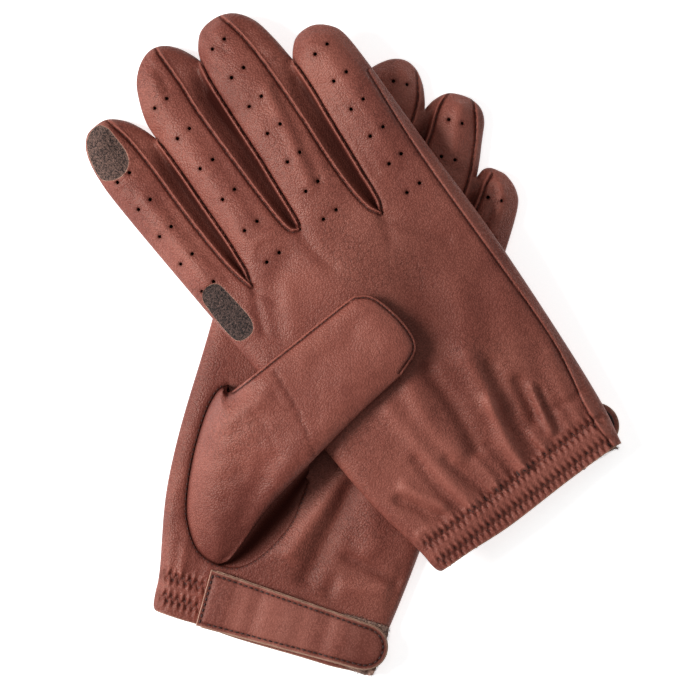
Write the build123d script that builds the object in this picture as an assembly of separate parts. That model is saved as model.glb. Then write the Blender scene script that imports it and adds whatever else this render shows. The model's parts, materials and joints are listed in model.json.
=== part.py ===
from build123d import *
import os
from math import ceil

# A crossed pair of unlined leather driving gloves, in millimetres, +Z up.
# The lower glove is a left hand lying palm up. The upper glove is a right hand lying back up
# across it, draped down to the table on both sides, and held under the lower glove's thumb.
#
# Both gloves are cut from one pattern. Its local frame has +u across the hand towards the little
# finger, +v towards the fingertips, and its origin at the middle of the wrist edge. Heights in a
# glove are counted from the outer face of its back leather towards the palm and beyond it.

# Leather, thread and tape
LEATHER = 0.9
THREAD_WIDTH = 0.6
THREAD_DEPTH = 0.35
ELASTIC = 0.7
PATCH = 0.7

# The flat glove
GLOVE_THICKNESS = 8.0
PALM_LEFT = [(-45.5, 1), (-46.2, 14), (-50.2, 42), (-51.5, 75)]
PALM_TOP = [(-54.8, 150), (-3.3, 151), (60.3, 140)]
PALM_RIGHT = [(59, 98), (55.2, 48), (51.5, 15), (47.5, -4)]
MOUTH_MARGIN = 6.0

# Each finger is the hull of three circles (u, v, radius): root, last joint and tip
FINGERS = {
    "index": [(-44.2, 150, 10.6), (-42.4, 208, 14), (-43.2, 226, 10.5)],
    "middle": [(-18, 152, 14), (-10.4, 215, 15.8), (-7.5, 235, 12)],
    "ring": [(13, 152, 15), (21.8, 212, 16.2), (21.8, 230, 11.2)],
    "little": [(45, 140, 15.3), (49.3, 190, 12.8), (49.5, 202.5, 11)],
}

# Each slit between two fingers, from the crotch to the notch between their tips
SLITS = {
    "index_middle": [(-33.5, 143), (-26.6, 221)],
    "middle_ring": [(-3.3, 149.5), (8.4, 234)],
    "ring_little": [(28, 134.5), (39.2, 213)],
}
SLIT_WIDTH = 1.2
SEAM_INSET = 1.7

# Seam that closes the trank on the back, along the little finger's side
SIDE_SEAM = [(43.9, -3), (48.8, 35), (52.9, 76), (55, 130), (58.9, 184)]

# Thumb: the egg-shaped hole in the palm, and the tube that lies across the hand
THUMB_HOLE = [(-22, 46.5, 23.5), (-38.5, 88, 8), (-6, 62, 8.5)]
THUMB_TUBE = [(-22, 78, 20), (5, 134.5, 13), (19.5, 131.5, 12)]
THUMB_BEND = (-14.5, 87.9)
THUMB_HEADING = 53.7
THUMB_GAP = 0.2
FLAT_THUMB = 6.4
RAISED_THUMB = 7.0
THUMB_FOOT = (-62, 2.2)
THUMB_RAMP_END = -6
THUMB_RADIUS = 30

# Strap across the palm side of the wrist: centre line, half widths and stack
STRAP_START = (-23.8, 8.6)
STRAP_END = (43.8, 6.8)
STRAP_HALF_START = 12.0
STRAP_HALF_END = 9.4
STRAP_ANCHOR = 2.4
STRAP_STITCH = 2.0
LINING = 0.7
HOOK = 0.8
LOOP = 0.8
BODY_GAP = 0.3
LOOP_CENTRE = (41, 6.5)
LOOP_SIZE = (20, 24)
HOOK_LENGTH = 22

# Elastic in the wrist, under two zigzag rows (left and right heights of each row)
ELASTIC_LEFT, ELASTIC_RIGHT = -44.3, 43.5
ELASTIC_LOW, ELASTIC_HIGH = 1.2, 14.5
ELASTIC_PALM_END = -27.5
ZIGZAG_ROWS = [(4.2, 0.6), (13.0, 9.6)]
ZIGZAG_PITCH = 3.0
ZIGZAG_SWING = 1.6

# Knit inlays on the index finger's outer side: centre, size, turn
PATCHES = {
    "fingertip": [(-47.4, 224.5), (11.5, 25), -14],
    "knuckle": [(-47.9, 140.5), (12, 27), -2],
}
PATCH_LAP = 1.6

# How the two gloves lie
LOWER_ORIGIN = (-5.5, -4.5)
LOWER_TURN = -2.6
UPPER_ORIGIN = (91.1, 72.6)
UPPER_TURN = 51.1
STACK_GAP = 0.3
THUMB_LIFT = 0.4
LIFT = GLOVE_THICKNESS + STACK_GAP + FLAT_THUMB
DRAPE_LINE = [(-150, 0.4), (-92, 0.4), (-38, LIFT), (66, LIFT), (102, 4), (150, 4)]
DRAPE_RADIUS = 30

STRAP_TOP = GLOVE_THICKNESS + LOOP + BODY_GAP + HOOK + LINING + LEATHER
RAISED_UNDER = LIFT + GLOVE_THICKNESS + THUMB_LIFT
RAISED_TOP = RAISED_UNDER + RAISED_THUMB
REACH = 400


def hull_of(circles, grow=0.0):
    """The outline stretched round a few circles, each (u, v, radius)."""
    rings = [Pos(u, v) * Circle(radius + grow) for u, v, radius in circles]
    edges = [edge for ring in rings for edge in ring.edges()]
    return Sketch() + make_hull(edges)


def polygon(points):
    return Sketch() + make_face(Polyline(*points, close=True))


def slot_between(start, end, width):
    """A round-ended slot from one point to another."""
    start, end = Vector(*start), Vector(*end)
    heading = end - start
    turn = Vector(1, 0).get_signed_angle(heading, Vector(0, 0, 1))
    middle = (start + end) / 2
    return Pos(middle.X, middle.Y) * Rot(0, 0, turn) * SlotCenterToCenter(heading.length, width)


def hand_outline(inset=0.0, mouth=0.0):
    """The flat glove's outline, drawn in by inset, with its wrist edge moved out by mouth."""
    left = [(u + inset, v) for u, v in PALM_LEFT]
    top_left, top_middle, top_right = [(u, v - inset) for u, v in PALM_TOP]
    top = [(top_left[0] + inset, top_left[1]), top_middle, (top_right[0] - inset, top_right[1])]
    right = [(u - inset, v) for u, v in PALM_RIGHT]
    left[0] = (left[0][0], left[0][1] - mouth)
    right[-1] = (right[-1][0], right[-1][1] - mouth)
    shape = polygon(left + top + right)
    for circles in FINGERS.values():
        shape += hull_of(circles, -inset)
    for start, end in SLITS.values():
        shape -= slot_between(start, end, SLIT_WIDTH + 2 * inset)
    return shape


def cavity_outline(clearance=0.0):
    """The outline of the hand's cavity, open at the wrist."""
    return hand_outline(LEATHER + clearance, MOUTH_MARGIN)


def tip_point(name):
    u, v, radius = FINGERS[name][2]
    return (u, v + 2 * radius)


def root_point(name):
    u, v, _ = FINGERS[name][0]
    return (u, v - 25)


def wall_zones():
    """Regions that share the upright leather between the back and the palm."""
    names = list(FINGERS)
    zones = {
        "trank_fold": polygon([(-95, -40), (0, -40), root_point("index"), tip_point("index"), (-95, 280)]),
        "trank_side": polygon([(95, -40), (0, -40), root_point("little"), tip_point("little"), (95, 280)]),
    }
    for first, second in zip(names, names[1:]):
        corners = [root_point(first), tip_point(first), tip_point(second), root_point(second)]
        zones[f"fourchette_{first}_{second}"] = polygon(corners)
    return zones


def half_plane(side, setback=THUMB_GAP):
    """The half of the pattern before (-1) or past (+1) the line where the thumb bends."""
    shift = side * (REACH / 2 + setback)
    return Pos(*THUMB_BEND) * Rot(0, 0, THUMB_HEADING) * Pos(shift, 0) * Rectangle(REACH, REACH)


def thumb_outline(inset=0.0):
    return hull_of(THUMB_HOLE, -inset) + hull_of(THUMB_TUBE, -inset)


def strap_outline(inset=0.0):
    """The strap: straight sides that narrow to a round free end."""
    u, v = STRAP_START
    half = STRAP_HALF_START - inset
    end = Pos(*STRAP_END) * Circle(STRAP_HALF_END - inset)
    base = Line((u, v - half), (u, v + half))
    return Sketch() + make_hull([*end.edges(), *base.edges()])


def zigzag(left, right, start, end):
    """One zigzag row between u = left and right, its height running from start to end."""
    steps = ceil((right - left) / ZIGZAG_PITCH * 2)
    points = []
    for step in range(steps + 1):
        share = step / steps
        swing = ZIGZAG_SWING if step % 2 else 0
        points.append((left + share * (right - left), start + share * (end - start) + swing))
    return trace(Polyline(*points), THREAD_WIDTH)


class Glove:
    """One glove: where its pattern lies, and which side faces up."""

    def __init__(self, place, palm_up):
        self.place = place
        self.palm_up = palm_up

    def layer(self, sketch, low, high):
        """The sketch as a layer from height low to height high in this glove."""
        if self.palm_up:
            return extrude(self.place * Pos(0, 0, low) * sketch, high - low, dir=(0, 0, 1))
        prism = extrude(self.place * Pos(0, 0, -20) * sketch, 80, dir=(0, 0, 1))
        return prism & draped_slab(GLOVE_THICKNESS - high, GLOVE_THICKNESS - low)


def draped_slab(low, high):
    """The space between two heights over the line that the upper glove's palm follows."""
    under = FilletPolyline(*[(x, z + low) for x, z in DRAPE_LINE], radius=DRAPE_RADIUS)
    over = FilletPolyline(*[(x, z + high) for x, z in DRAPE_LINE], radius=DRAPE_RADIUS)
    ends = [Line(under @ 0, over @ 0), Line(under @ 1, over @ 1)]
    profile = make_face([*under.edges(), *over.edges(), *ends])
    return extrude(Plane.XZ * profile, REACH, both=True)


def thumb_slab(low, high):
    """The space from a flat height up to a top that climbs along the thumb, in the world."""
    foot, rise = THUMB_FOOT
    top = FilletPolyline((foot, GLOVE_THICKNESS + rise + high), (THUMB_RAMP_END, RAISED_TOP + high),
                         (90, RAISED_TOP + high), radius=THUMB_RADIUS)
    sides = Polyline(top @ 0, (foot, low), (90, low), top @ 1)
    profile = make_face([*top.edges(), *sides.edges()])
    return extrude(Plane.XZ * profile, REACH, both=True)


def seam_threads():
    """Thread along both sides of every slit, round its crotch."""
    threads = Sketch()
    for start, end in SLITS.values():
        width = SLIT_WIDTH + 2 * SEAM_INSET
        threads += slot_between(start, end, width + THREAD_WIDTH)
        threads -= slot_between(start, end, width - THREAD_WIDTH)
    return threads & hand_outline(LEATHER / 2)


def ellipse_patch(name, grow=0.0):
    centre, size, turn = PATCHES[name]
    return Pos(*centre) * Rot(0, 0, turn) * Ellipse(size[0] / 2 + grow, size[1] / 2 + grow)


def trank(glove, parts):
    """The main leather: back, palm, folded index side and little-finger side."""
    outline = hand_outline()
    cavity = cavity_outline()
    ring = outline - cavity
    top = GLOVE_THICKNESS

    seams = seam_threads()
    side_seam = trace(Polyline(*SIDE_SEAM), THREAD_WIDTH)
    back_rows = Sketch()
    palm_rows = Sketch()
    for start, end in ZIGZAG_ROWS:
        back_rows += zigzag(ELASTIC_LEFT, ELASTIC_RIGHT, start, end)
        palm_rows += zigzag(ELASTIC_LEFT, ELASTIC_PALM_END, start, start - ZIGZAG_SWING / 2)
    thumb_seam = hull_of(THUMB_HOLE, LEATHER + THREAD_WIDTH) - hull_of(THUMB_HOLE, LEATHER)

    back_seams = glove.layer(seams, 0, THREAD_DEPTH)
    palm_seams = glove.layer(seams, top - THREAD_DEPTH, top)
    side_thread = glove.layer(side_seam, 0, THREAD_DEPTH)
    back_zigzag = glove.layer(back_rows, 0, THREAD_DEPTH)
    palm_zigzag = glove.layer(palm_rows, top - THREAD_DEPTH, top)
    thumb_thread = glove.layer(thumb_seam, top - THREAD_DEPTH, top)

    windows = Sketch()
    for name in PATCHES:
        windows += ellipse_patch(name)
    back = glove.layer(outline - windows, 0, LEATHER)
    palm = glove.layer(outline - hull_of(THUMB_HOLE), top - LEATHER, top)
    parts["trank_back"] = back - back_seams - side_thread - back_zigzag
    parts["trank_palm"] = palm - palm_seams - palm_zigzag - thumb_thread
    for name, zone in wall_zones().items():
        parts[name] = glove.layer(ring & zone, LEATHER, top - LEATHER)

    parts["finger_seam_thread"] = Compound(children=[*back_seams.solids(), *palm_seams.solids()])
    parts["side_seam_thread"] = side_thread
    parts["elastic_thread"] = Compound(children=[*back_zigzag.solids(), *palm_zigzag.solids()])
    parts["thumb_seam_thread"] = thumb_thread
    for name in PATCHES:
        backing = ellipse_patch(name, PATCH_LAP) & cavity
        parts[f"{name}_patch"] = glove.layer(backing, LEATHER, LEATHER + PATCH)


def wrist_elastic(glove, parts):
    """Tape inside the wrist: right across the back, round the fold, and up to the strap."""
    cavity = cavity_outline()
    band = Pos((ELASTIC_LEFT + ELASTIC_RIGHT) / 2, (ELASTIC_LOW + ELASTIC_HIGH) / 2) * Rectangle(
        ELASTIC_RIGHT - ELASTIC_LEFT + 8, ELASTIC_HIGH - ELASTIC_LOW)
    palm_side = Pos(ELASTIC_PALM_END - REACH / 2, 0) * Rectangle(REACH, REACH)
    inside = band & cavity & (Pos(ELASTIC_RIGHT - REACH / 2, 0) * Rectangle(REACH, REACH))
    fold = inside - cavity_outline(ELASTIC)
    fold = fold & (Pos(-REACH / 2, 0) * Rectangle(REACH, REACH))
    top = GLOVE_THICKNESS - LEATHER
    tape = glove.layer(inside, LEATHER, LEATHER + ELASTIC)
    tape += glove.layer(inside & palm_side, top - ELASTIC, top)
    tape += glove.layer(fold, LEATHER + ELASTIC, top - ELASTIC)
    parts["wrist_elastic"] = tape


def strap(glove, parts):
    """Double leather strap with hook tape, the loop tape it closes on, and its sewn end."""
    base = GLOVE_THICKNESS
    hook_low = base + LOOP + BODY_GAP
    lining_low = hook_low + HOOK
    outer_low = lining_low + LINING
    outline = strap_outline()
    line = strap_outline(STRAP_STITCH - THREAD_WIDTH) - strap_outline(STRAP_STITCH)
    line = line & (Pos(STRAP_START[0] + 1 + REACH / 2, 0) * Rectangle(REACH, REACH))
    hook_zone = Pos(STRAP_END[0] + STRAP_HALF_END - HOOK_LENGTH + REACH / 2, 0) * Rectangle(REACH, REACH)
    stitches = glove.layer(line, STRAP_TOP - THREAD_DEPTH, STRAP_TOP)
    parts["strap_outer"] = glove.layer(outline, outer_low, STRAP_TOP) - stitches
    parts["strap_thread"] = stitches
    parts["strap_lining"] = glove.layer(outline, lining_low, outer_low)
    parts["strap_hook_tape"] = glove.layer(strap_outline(STRAP_STITCH) & hook_zone, hook_low, lining_low)

    loop = Pos(*LOOP_CENTRE) * RectangleRounded(*LOOP_SIZE, 4)
    parts["strap_loop_tape"] = glove.layer(loop & hand_outline(), base, base + LOOP)

    u = STRAP_START[0] - BODY_GAP - STRAP_ANCHOR / 2
    end = Pos(u, STRAP_START[1]) * Rectangle(STRAP_ANCHOR, 2 * STRAP_HALF_START)
    row = Pos(u, STRAP_START[1]) * Rectangle(THREAD_WIDTH, 2 * STRAP_HALF_START - 2)
    row_thread = glove.layer(row, STRAP_TOP - THREAD_DEPTH, STRAP_TOP)
    parts["strap_sewn_end"] = glove.layer(end, base, STRAP_TOP) - row_thread
    parts["strap_end_thread"] = row_thread


def thumb_halves(layer, low, high, parts):
    """The thumb's tube past the bend, as an inner and an outer half, open towards its root."""
    past = half_plane(1)
    whole = thumb_outline() & past
    hollow = thumb_outline(LEATHER) & past
    middle = (low + high) / 2
    line = (thumb_outline(SEAM_INSET) - thumb_outline(SEAM_INSET + THREAD_WIDTH)) & past
    thread = layer(line, high - THREAD_DEPTH, high)
    parts["thumb_inner"] = layer(whole, low, middle) - layer(hollow, low + LEATHER, middle)
    parts["thumb_outer"] = layer(whole, middle, high) - layer(hollow, middle, high - LEATHER) - thread
    parts["thumb_tip_thread"] = thread


def flat_thumb(glove, parts):
    """The upper glove's thumb, pressed flat between its palm and the glove below."""
    base = GLOVE_THICKNESS
    far = base + FLAT_THUMB - THUMB_GAP
    before = half_plane(-1)
    shell = glove.layer(thumb_outline() & before, base, far)
    parts["thumb_root"] = shell - glove.layer(thumb_outline(LEATHER) & before, base, far - LEATHER)
    thumb_halves(glove.layer, base + THUMB_GAP, far, parts)


def raised_thumb(glove, parts):
    """The lower glove's thumb: it climbs off the palm and lies on the glove above."""
    floor = GLOVE_THICKNESS + THUMB_GAP
    heading = glove.place * Pos(*THUMB_BEND) * Rot(0, 0, THUMB_HEADING)
    whole = thumb_outline() & half_plane(-1)
    hollow = thumb_outline(LEATHER) & half_plane(-1, THUMB_GAP + LEATHER)
    doorway = thumb_outline(LEATHER) & half_plane(-1)
    shell = glove.layer(whole, floor, RAISED_TOP) & heading * thumb_slab(0, 0)
    space = glove.layer(hollow, 0, RAISED_TOP) & heading * thumb_slab(-LEATHER, -LEATHER)
    door = glove.layer(doorway, RAISED_UNDER + LEATHER, RAISED_TOP - LEATHER)
    parts["thumb_root"] = shell - space - (door & heading * thumb_slab(0, -LEATHER))
    thumb_halves(glove.layer, RAISED_UNDER, RAISED_TOP, parts)


def pair_shift():
    """The move that puts the middle of the pair's plan at the origin."""
    outline = hand_outline()
    lower = Pos(*LOWER_ORIGIN) * Rot(0, 0, LOWER_TURN) * outline
    upper = Pos(*UPPER_ORIGIN) * Rot(0, 0, UPPER_TURN) * outline
    centre = (lower + upper).bounding_box().center()
    return Pos(-centre.X, -centre.Y)


def make_glove(name, place, palm_up):
    """Every piece of one glove, as a dictionary of node name to solid."""
    glove = Glove(place, palm_up)
    parts = {}
    trank(glove, parts)
    wrist_elastic(glove, parts)
    strap(glove, parts)
    if palm_up:
        raised_thumb(glove, parts)
    else:
        flat_thumb(glove, parts)
    return {f"{name}_{piece}": solid for piece, solid in parts.items()}


def main():
    os.makedirs("parts", exist_ok=True)
    shift = pair_shift()
    lower = make_glove("lower", shift * Pos(*LOWER_ORIGIN) * Rot(0, 0, LOWER_TURN), True)
    upper = make_glove("upper", shift * Pos(*UPPER_ORIGIN) * Rot(0, 0, UPPER_TURN), False)
    for node, solid in {**lower, **upper}.items():
        export_step(solid, f"parts/{node}.step")


main()
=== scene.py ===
import json
import math

import bpy
import numpy as np
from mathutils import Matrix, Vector
from mathutils.geometry import delaunay_2d_cdt
from mathutils.kdtree import KDTree


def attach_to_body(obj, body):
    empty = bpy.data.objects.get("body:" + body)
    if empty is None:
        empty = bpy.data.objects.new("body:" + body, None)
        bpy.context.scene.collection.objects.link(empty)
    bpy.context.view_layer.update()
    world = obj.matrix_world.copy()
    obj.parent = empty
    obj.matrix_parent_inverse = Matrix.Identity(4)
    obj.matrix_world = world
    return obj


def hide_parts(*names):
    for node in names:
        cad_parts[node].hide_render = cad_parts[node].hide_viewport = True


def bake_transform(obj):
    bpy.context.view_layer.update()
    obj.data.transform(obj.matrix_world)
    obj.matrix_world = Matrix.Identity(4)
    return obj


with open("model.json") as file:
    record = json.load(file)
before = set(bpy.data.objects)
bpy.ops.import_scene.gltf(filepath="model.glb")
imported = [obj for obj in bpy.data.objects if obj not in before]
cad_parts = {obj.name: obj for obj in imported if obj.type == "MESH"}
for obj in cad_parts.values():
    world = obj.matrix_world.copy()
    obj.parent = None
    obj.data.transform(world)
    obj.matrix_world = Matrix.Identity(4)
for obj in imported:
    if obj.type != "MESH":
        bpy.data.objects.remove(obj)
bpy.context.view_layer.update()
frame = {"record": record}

# Every length below is in millimetres, in the pattern frame of a glove: u across the hand towards
# the little finger, v towards the fingertips, and h up from the back's outer face to the palm.
MM = 0.001
THICKNESS = 8.0
MIDDLE = THICKNESS / 2
LEATHER = 0.9
WALL = 0.8
VALLEY_FLOOR = 1.1

# Outline of a flat glove: one smooth stretch for each finger and the sides, then the wrist edge
LEFT_SIDE = [(-44.4, 0.8), (-45.6, 2.2), (-46.2, 6), (-46.6, 14), (-50.2, 42), (-51.5, 75), (-54.8, 150),
             (-56.5, 200), (-56, 218), (-53.5, 229), (-49, 235), (-43.5, 236.3), (-37.5, 235.3), (-32, 230),
             (-28.5, 223), (-26.6, 216.5)]
MIDDLE_TIP = [(-26.6, 216.5), (-25.8, 224), (-23, 232), (-18.5, 240), (-12, 245.3), (-5.5, 247), (0, 245),
              (4.3, 240), (7, 234), (8, 230.3)]
RING_TIP = [(8, 230.3), (10.5, 235), (15, 239.5), (20.5, 240.8), (27, 239.8), (32.5, 236), (36.5, 228.5),
            (38, 218), (38.5, 206.5)]
RIGHT_SIDE = [(38.5, 206.5), (41, 209.5), (44.5, 212.3), (49, 213.2), (54.5, 212), (59.5, 207.5), (62, 201),
              (62.1, 185), (61, 160), (60.2, 138), (59, 98), (55.2, 48), (51.5, 15), (47.5, -4)]
WRIST_EDGE = [(47.5, -4), (42, -3.2), (20, -2.4), (-10, -2), (-30, 0), (-40, 0.6), (-44.4, 0.8)]

# Seams on both sides of each gap between fingers, and two points that close the gap past the tips
GAPS = {
    "index_middle": {
        "left": [(-33.6, 142.2), (-35.2, 150), (-36.1, 160), (-36.4, 175), (-36.2, 190), (-35.6, 205),
                 (-35.6, 220), (-37, 231), (-38, 234.8)],
        "right": [(-33.4, 142.2), (-31.2, 149), (-30.3, 156), (-29.3, 165), (-28.4, 180), (-27.4, 195),
                  (-26.8, 208), (-26.6, 216)],
        "beyond": [(-36, 242), (-26.5, 230)], "notch": 216.5},
    "middle_ring": {
        "left": [(-3.6, 148.6), (-6.2, 150.5), (-7.3, 156), (-7.4, 170), (-7, 185), (-6.5, 200), (-5.8, 215),
                 (-4.4, 228), (-3.9, 238), (-3.4, 246.2)],
        "right": [(-3.4, 148.6), (-1.9, 151), (-1, 157), (0.3, 168), (1.8, 180), (3.2, 195), (4.6, 210),
                  (6, 222), (7.9, 230)],
        "beyond": [(-2, 252), (9, 245), (8.3, 234)], "notch": 230.3},
    "ring_little": {
        "left": [(27.3, 133), (25, 137.5), (24, 145), (24, 155), (24.8, 168), (26.2, 182), (27.3, 195),
                 (28.2, 210), (28.4, 222), (27.6, 232), (26, 239.5)],
        "right": [(27.7, 133), (29.8, 137), (31, 143), (32, 152), (33.6, 165), (35.2, 178), (37, 191),
                  (38, 203), (38.5, 206)],
        "beyond": [(30, 246), (40, 236), (40, 215), (39, 207)], "notch": 206.5},
}
# On the palm the seams of the middle, ring and little fingers end nearer the fingers' sides
PALM_GAPS = {
    "index_middle": GAPS["index_middle"],
    "middle_ring": {
        "left": [(-3.6, 148.6), (-6, 151), (-6.6, 157), (-5.5, 170), (-3, 185), (0, 200), (2.6, 212),
                 (4.4, 223), (4.4, 232), (2.8, 239), (0.6, 244.6)],
        "right": [(-3.4, 148.6), (-1.9, 151), (-1, 157), (0.3, 168), (3, 180), (6.5, 193), (10.5, 206),
                  (13, 218), (13.2, 226), (13.6, 233), (15.6, 239.5)],
        "beyond": [(1, 254), (16, 250)], "notch": 230.3},
    "ring_little": {
        "left": [(27.3, 133), (25, 137.5), (24, 145), (24.5, 155), (26, 168), (28.5, 182), (31.5, 192),
                 (33.4, 200), (33.6, 210), (32.4, 222), (30.4, 230), (28.6, 235), (26.4, 239.6)],
        "right": [(27.7, 133), (29.8, 137), (31, 143), (32, 152), (33.6, 165), (36, 178), (39, 191),
                  (40.4, 200), (40.8, 206), (42, 211)],
        "beyond": [(27, 250), (44, 222)], "notch": 206.5},
}
SIDE_SEAM = [(43.9, -3), (44, 10), (45.5, 20), (48, 30), (51, 45), (52.5, 64), (52.9, 76), (55, 130),
             (56.8, 155), (59, 175), (60, 183)]

# Punched holes, in pairs: first pair, last pair, number of pairs. The point is the left hole's.
HOLE_RADIUS = 0.7
HOLE_PAIR = 6.5
PALM_HOLE_PAIR = 0.9 * HOLE_PAIR
HOLE_DRIFT = 0.3
CIRCLE_SIDES = 12
BACK_HOLES = [((-50.6, 211.3), (-51.2, 154), 5), ((-18.9, 226.4), (-21.9, 146.3), 6),
              ((14.8, 230.2), (7.6, 145.6), 7), ((46.8, 201.8), (41.6, 133), 6)]
PALM_HOLES = [((-48, 219), (-50, 172), 4), ((-7.9, 237.1), (-16, 173), 5),
              ((19, 228.3), (21.5, 166), 5), ((43, 201), (47, 156), 4)]

# Knit inlays on the outer side of the index finger, on the back
PATCHES = {
    "fingertip": [(-55.2, 219), (-54, 215.4), (-49.6, 212.8), (-45, 213), (-41.5, 215.5), (-39.8, 220),
                  (-39.6, 227), (-39.9, 232), (-42, 235.4), (-46.5, 235.2), (-50.6, 232.6), (-53.6, 226.6)],
    "knuckle": [(-53.2, 147), (-52.8, 150.6), (-51, 153), (-48, 153.8), (-45, 153), (-43.2, 150.6),
                (-42.4, 143), (-41.8, 134), (-42.6, 130), (-44.6, 127.6), (-48, 127), (-51.2, 128),
                (-52.8, 131), (-53.4, 139)],
}
PATCH_DEPTH = 0.45
PATCH_HAIRS = 2600
PATCH_HAIR_SIZE = (0.55, 0.055)
KNIT_THICKNESS = 0.6

# Wrist elastic and its two zigzag rows: height of each row at the left and right ends
ZIGZAG_ROWS = [(4.4, 0.2), (13.2, 10.2)]
ZIGZAG_SWING = 3.2
ZIGZAG_PITCH = 2.8
ZIGZAG_MARGIN = 1.5
ZIGZAG_SLOPE = math.cos(math.atan(2 * ZIGZAG_SWING / ZIGZAG_PITCH))
ELASTIC_LEFT, ELASTIC_RIGHT, ELASTIC_PALM_END = -45.2, 44.0, -27.5
ELASTIC_LOW, ELASTIC_HIGH = 0.4, 15.5
ELASTIC_WALL = 0.7
ELASTIC_ROWS, ELASTIC_STEP = 12, 0.8
GATHER_STEP = 0.46

# Thumb: the seam round its hole in the palm, and the outline of the thumb lying across the hand
THUMB_SEAM = [(-40.6, 96.8), (-44.1, 92.6), (-46.3, 81.5), (-46.4, 63.5), (-44.3, 46.5), (-40.6, 35.7),
              (-33.7, 26.5), (-24.3, 23.2), (-15.1, 25.1), (-7.1, 33.2), (-0.3, 46.5), (1.9, 59.6),
              (2.5, 66.7)]
THUMB_SEAM_TOP = [(2.5, 66.7), (-4, 75), (-18, 83), (-32, 89), (-38, 92.5), (-40.6, 96.8)]
THUMB_LEFT = [(-37.7, 95.2), (-19.4, 119.7), (-1.9, 143.6), (2, 147), (7.1, 148.2), (13, 146.6), (20.3, 143),
              (26.5, 138.6), (30, 134.4), (30.8, 129.6), (27.9, 120.2)]
THUMB_RIGHT = [(27.9, 120.2), (14.9, 99.3), (1.2, 74.6), (-10.8, 51.7), (-17, 34.5), (-20.5, 26.5),
               (-24.3, 23.2)]
THUMB_BEND = np.array((-14.5, 87.9))
THUMB_HEADING = math.radians(53.7)
THUMB_AXIS = np.array((math.cos(THUMB_HEADING), math.sin(THUMB_HEADING)))
THUMB_SEAM_FOOT = (-24.3, 23.2)
THUMB_CROTCH = (1.2, 74.6)
THUMB_FOOT = (-62, 10.2)
THUMB_RAMP_END = -6
RAISED_UNDER = 24.0
RAISED_TOP = 31.0
RAISED_MIDDLE = 27.5
FLAT_THUMB = 4.7

# Strap across the palm side of the wrist
STRAP_START = (-23.8, 8.6)
STRAP_END = (43.8, 6.8)
STRAP_HALF_START = 12.0
STRAP_HALF_END = 9.4
STRAP_ANCHOR = 2.4
STRAP_STITCH = 1.7
LOOP_TAPE, HOOK_TAPE, LINING, BODY_GAP = 0.8, 0.8, 0.7, 0.3
LINING_OVERHANG = 0.35
LAYER_GAP = 0.03
HOOK_LENGTH = 22
TAPE_HAIRS = 900
TAPE_HAIR_SIZE = (0.6, 0.06)
LOOP_OUTLINE = [(31, 16), (31, 5), (31, -1), (34, -2.6), (41, -3.9), (46, -4.7), (49.8, -4.2), (50.8, -1),
                (51.6, 5), (51.9, 14), (51, 17), (47, 17.3), (39, 17.7), (33, 17.6)]
LOOP_CENTRE = (41, 6.5)

# Height of the upper glove's underside along the world's x, as it hangs down on both sides
DRAPE_LINE = [(-150, 0.4), (-95, 0.4), (-50, 10.8), (-20, 14.2), (10, 15), (38, 14), (66, 11.4), (104, 5.4),
              (150, 5.4)]
DRAPE_SOFTNESS = 14


# ---- plane geometry ----

def curve(points, step):
    """Points about every step along a smooth line through the given ones."""
    knots = np.array(points, float)
    knots = np.vstack([2 * knots[0] - knots[1], knots, 2 * knots[-1] - knots[-2]])
    out = []
    for a, b, c, d in zip(knots, knots[1:], knots[2:], knots[3:]):
        count = max(1, math.ceil(np.linalg.norm(c - b) / step))
        t = (np.arange(count) / count)[:, None]
        out.append(0.5 * (2 * b + (c - a) * t + (2 * a - 5 * b + 4 * c - d) * t**2
                          + (3 * b - a - 3 * c + d) * t**3))
    return np.vstack([*out, knots[-2:-1]])


def closed_curve(points, step):
    """The same, round a closed loop."""
    wrapped = list(points[-2:]) + list(points) + list(points[:2])
    line = curve(wrapped, step)
    first = np.argmin(np.linalg.norm(line - np.array(points[0]), axis=1))
    tail = line[first:]
    past_start = 5
    last = np.argmin(np.linalg.norm(tail[past_start:] - np.array(points[0]), axis=1)) + past_start
    return tail[:last]


def join(*lines):
    """Lines end to end, without the repeated points."""
    return np.vstack([line[:-1] for line in lines] + [lines[-1][-1:]])


def closed(loop):
    """A loop with its first point again at the end."""
    return np.vstack([loop, loop[:1]])


def tree_of(points):
    """A search tree of points in the plane."""
    tree = KDTree(len(points))
    for i, (x, y) in enumerate(points):
        tree.insert((x, y, 0), i)
    tree.balance()
    return tree


def inside(points, loop):
    """Which points lie inside a closed loop."""
    x, y = points[:, 0], points[:, 1]
    within = np.zeros(len(points), bool)
    for (x0, y0), (x1, y1) in zip(loop, np.roll(loop, -1, 0)):
        if y0 != y1:
            within ^= ((y0 > y) != (y1 > y)) & (x < (x1 - x0) * (y - y0) / (y1 - y0) + x0)
    return within


# Points measured at a time, to save memory
CHUNK = 3000


def distance(points, line):
    """Distance of each point from a line of points."""
    start, run = line[:-1], np.diff(line, axis=0)
    square = (run**2).sum(1) + 1e-12
    best = []
    for chunk in np.array_split(points, len(points) // CHUNK + 1):
        away = chunk[:, None] - start
        t = np.clip((away * run).sum(2) / square, 0, 1)
        best.append(np.linalg.norm(away - t[..., None] * run, axis=2).min(1))
    return np.concatenate(best)


def side_rows(line, offsets):
    """Rows of points beside a line, at these distances to its left."""
    tangent = np.gradient(line, axis=0)
    tangent /= np.linalg.norm(tangent, axis=1)[:, None] + 1e-9
    normal = np.column_stack([-tangent[:, 1], tangent[:, 0]])
    return [line + normal * offset for offset in offsets]


def circle(centre, radius):
    """Even points round a circle."""
    angle = np.arange(CIRCLE_SIDES) * math.tau / CIRCLE_SIDES
    return np.array(centre) + radius * np.column_stack([np.cos(angle), np.sin(angle)])


def dome(share):
    """Quarter round: 0 at 0, and 1 from 1 on."""
    return np.sqrt(1 - (1 - np.clip(share, 0, 1))**2)


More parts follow.
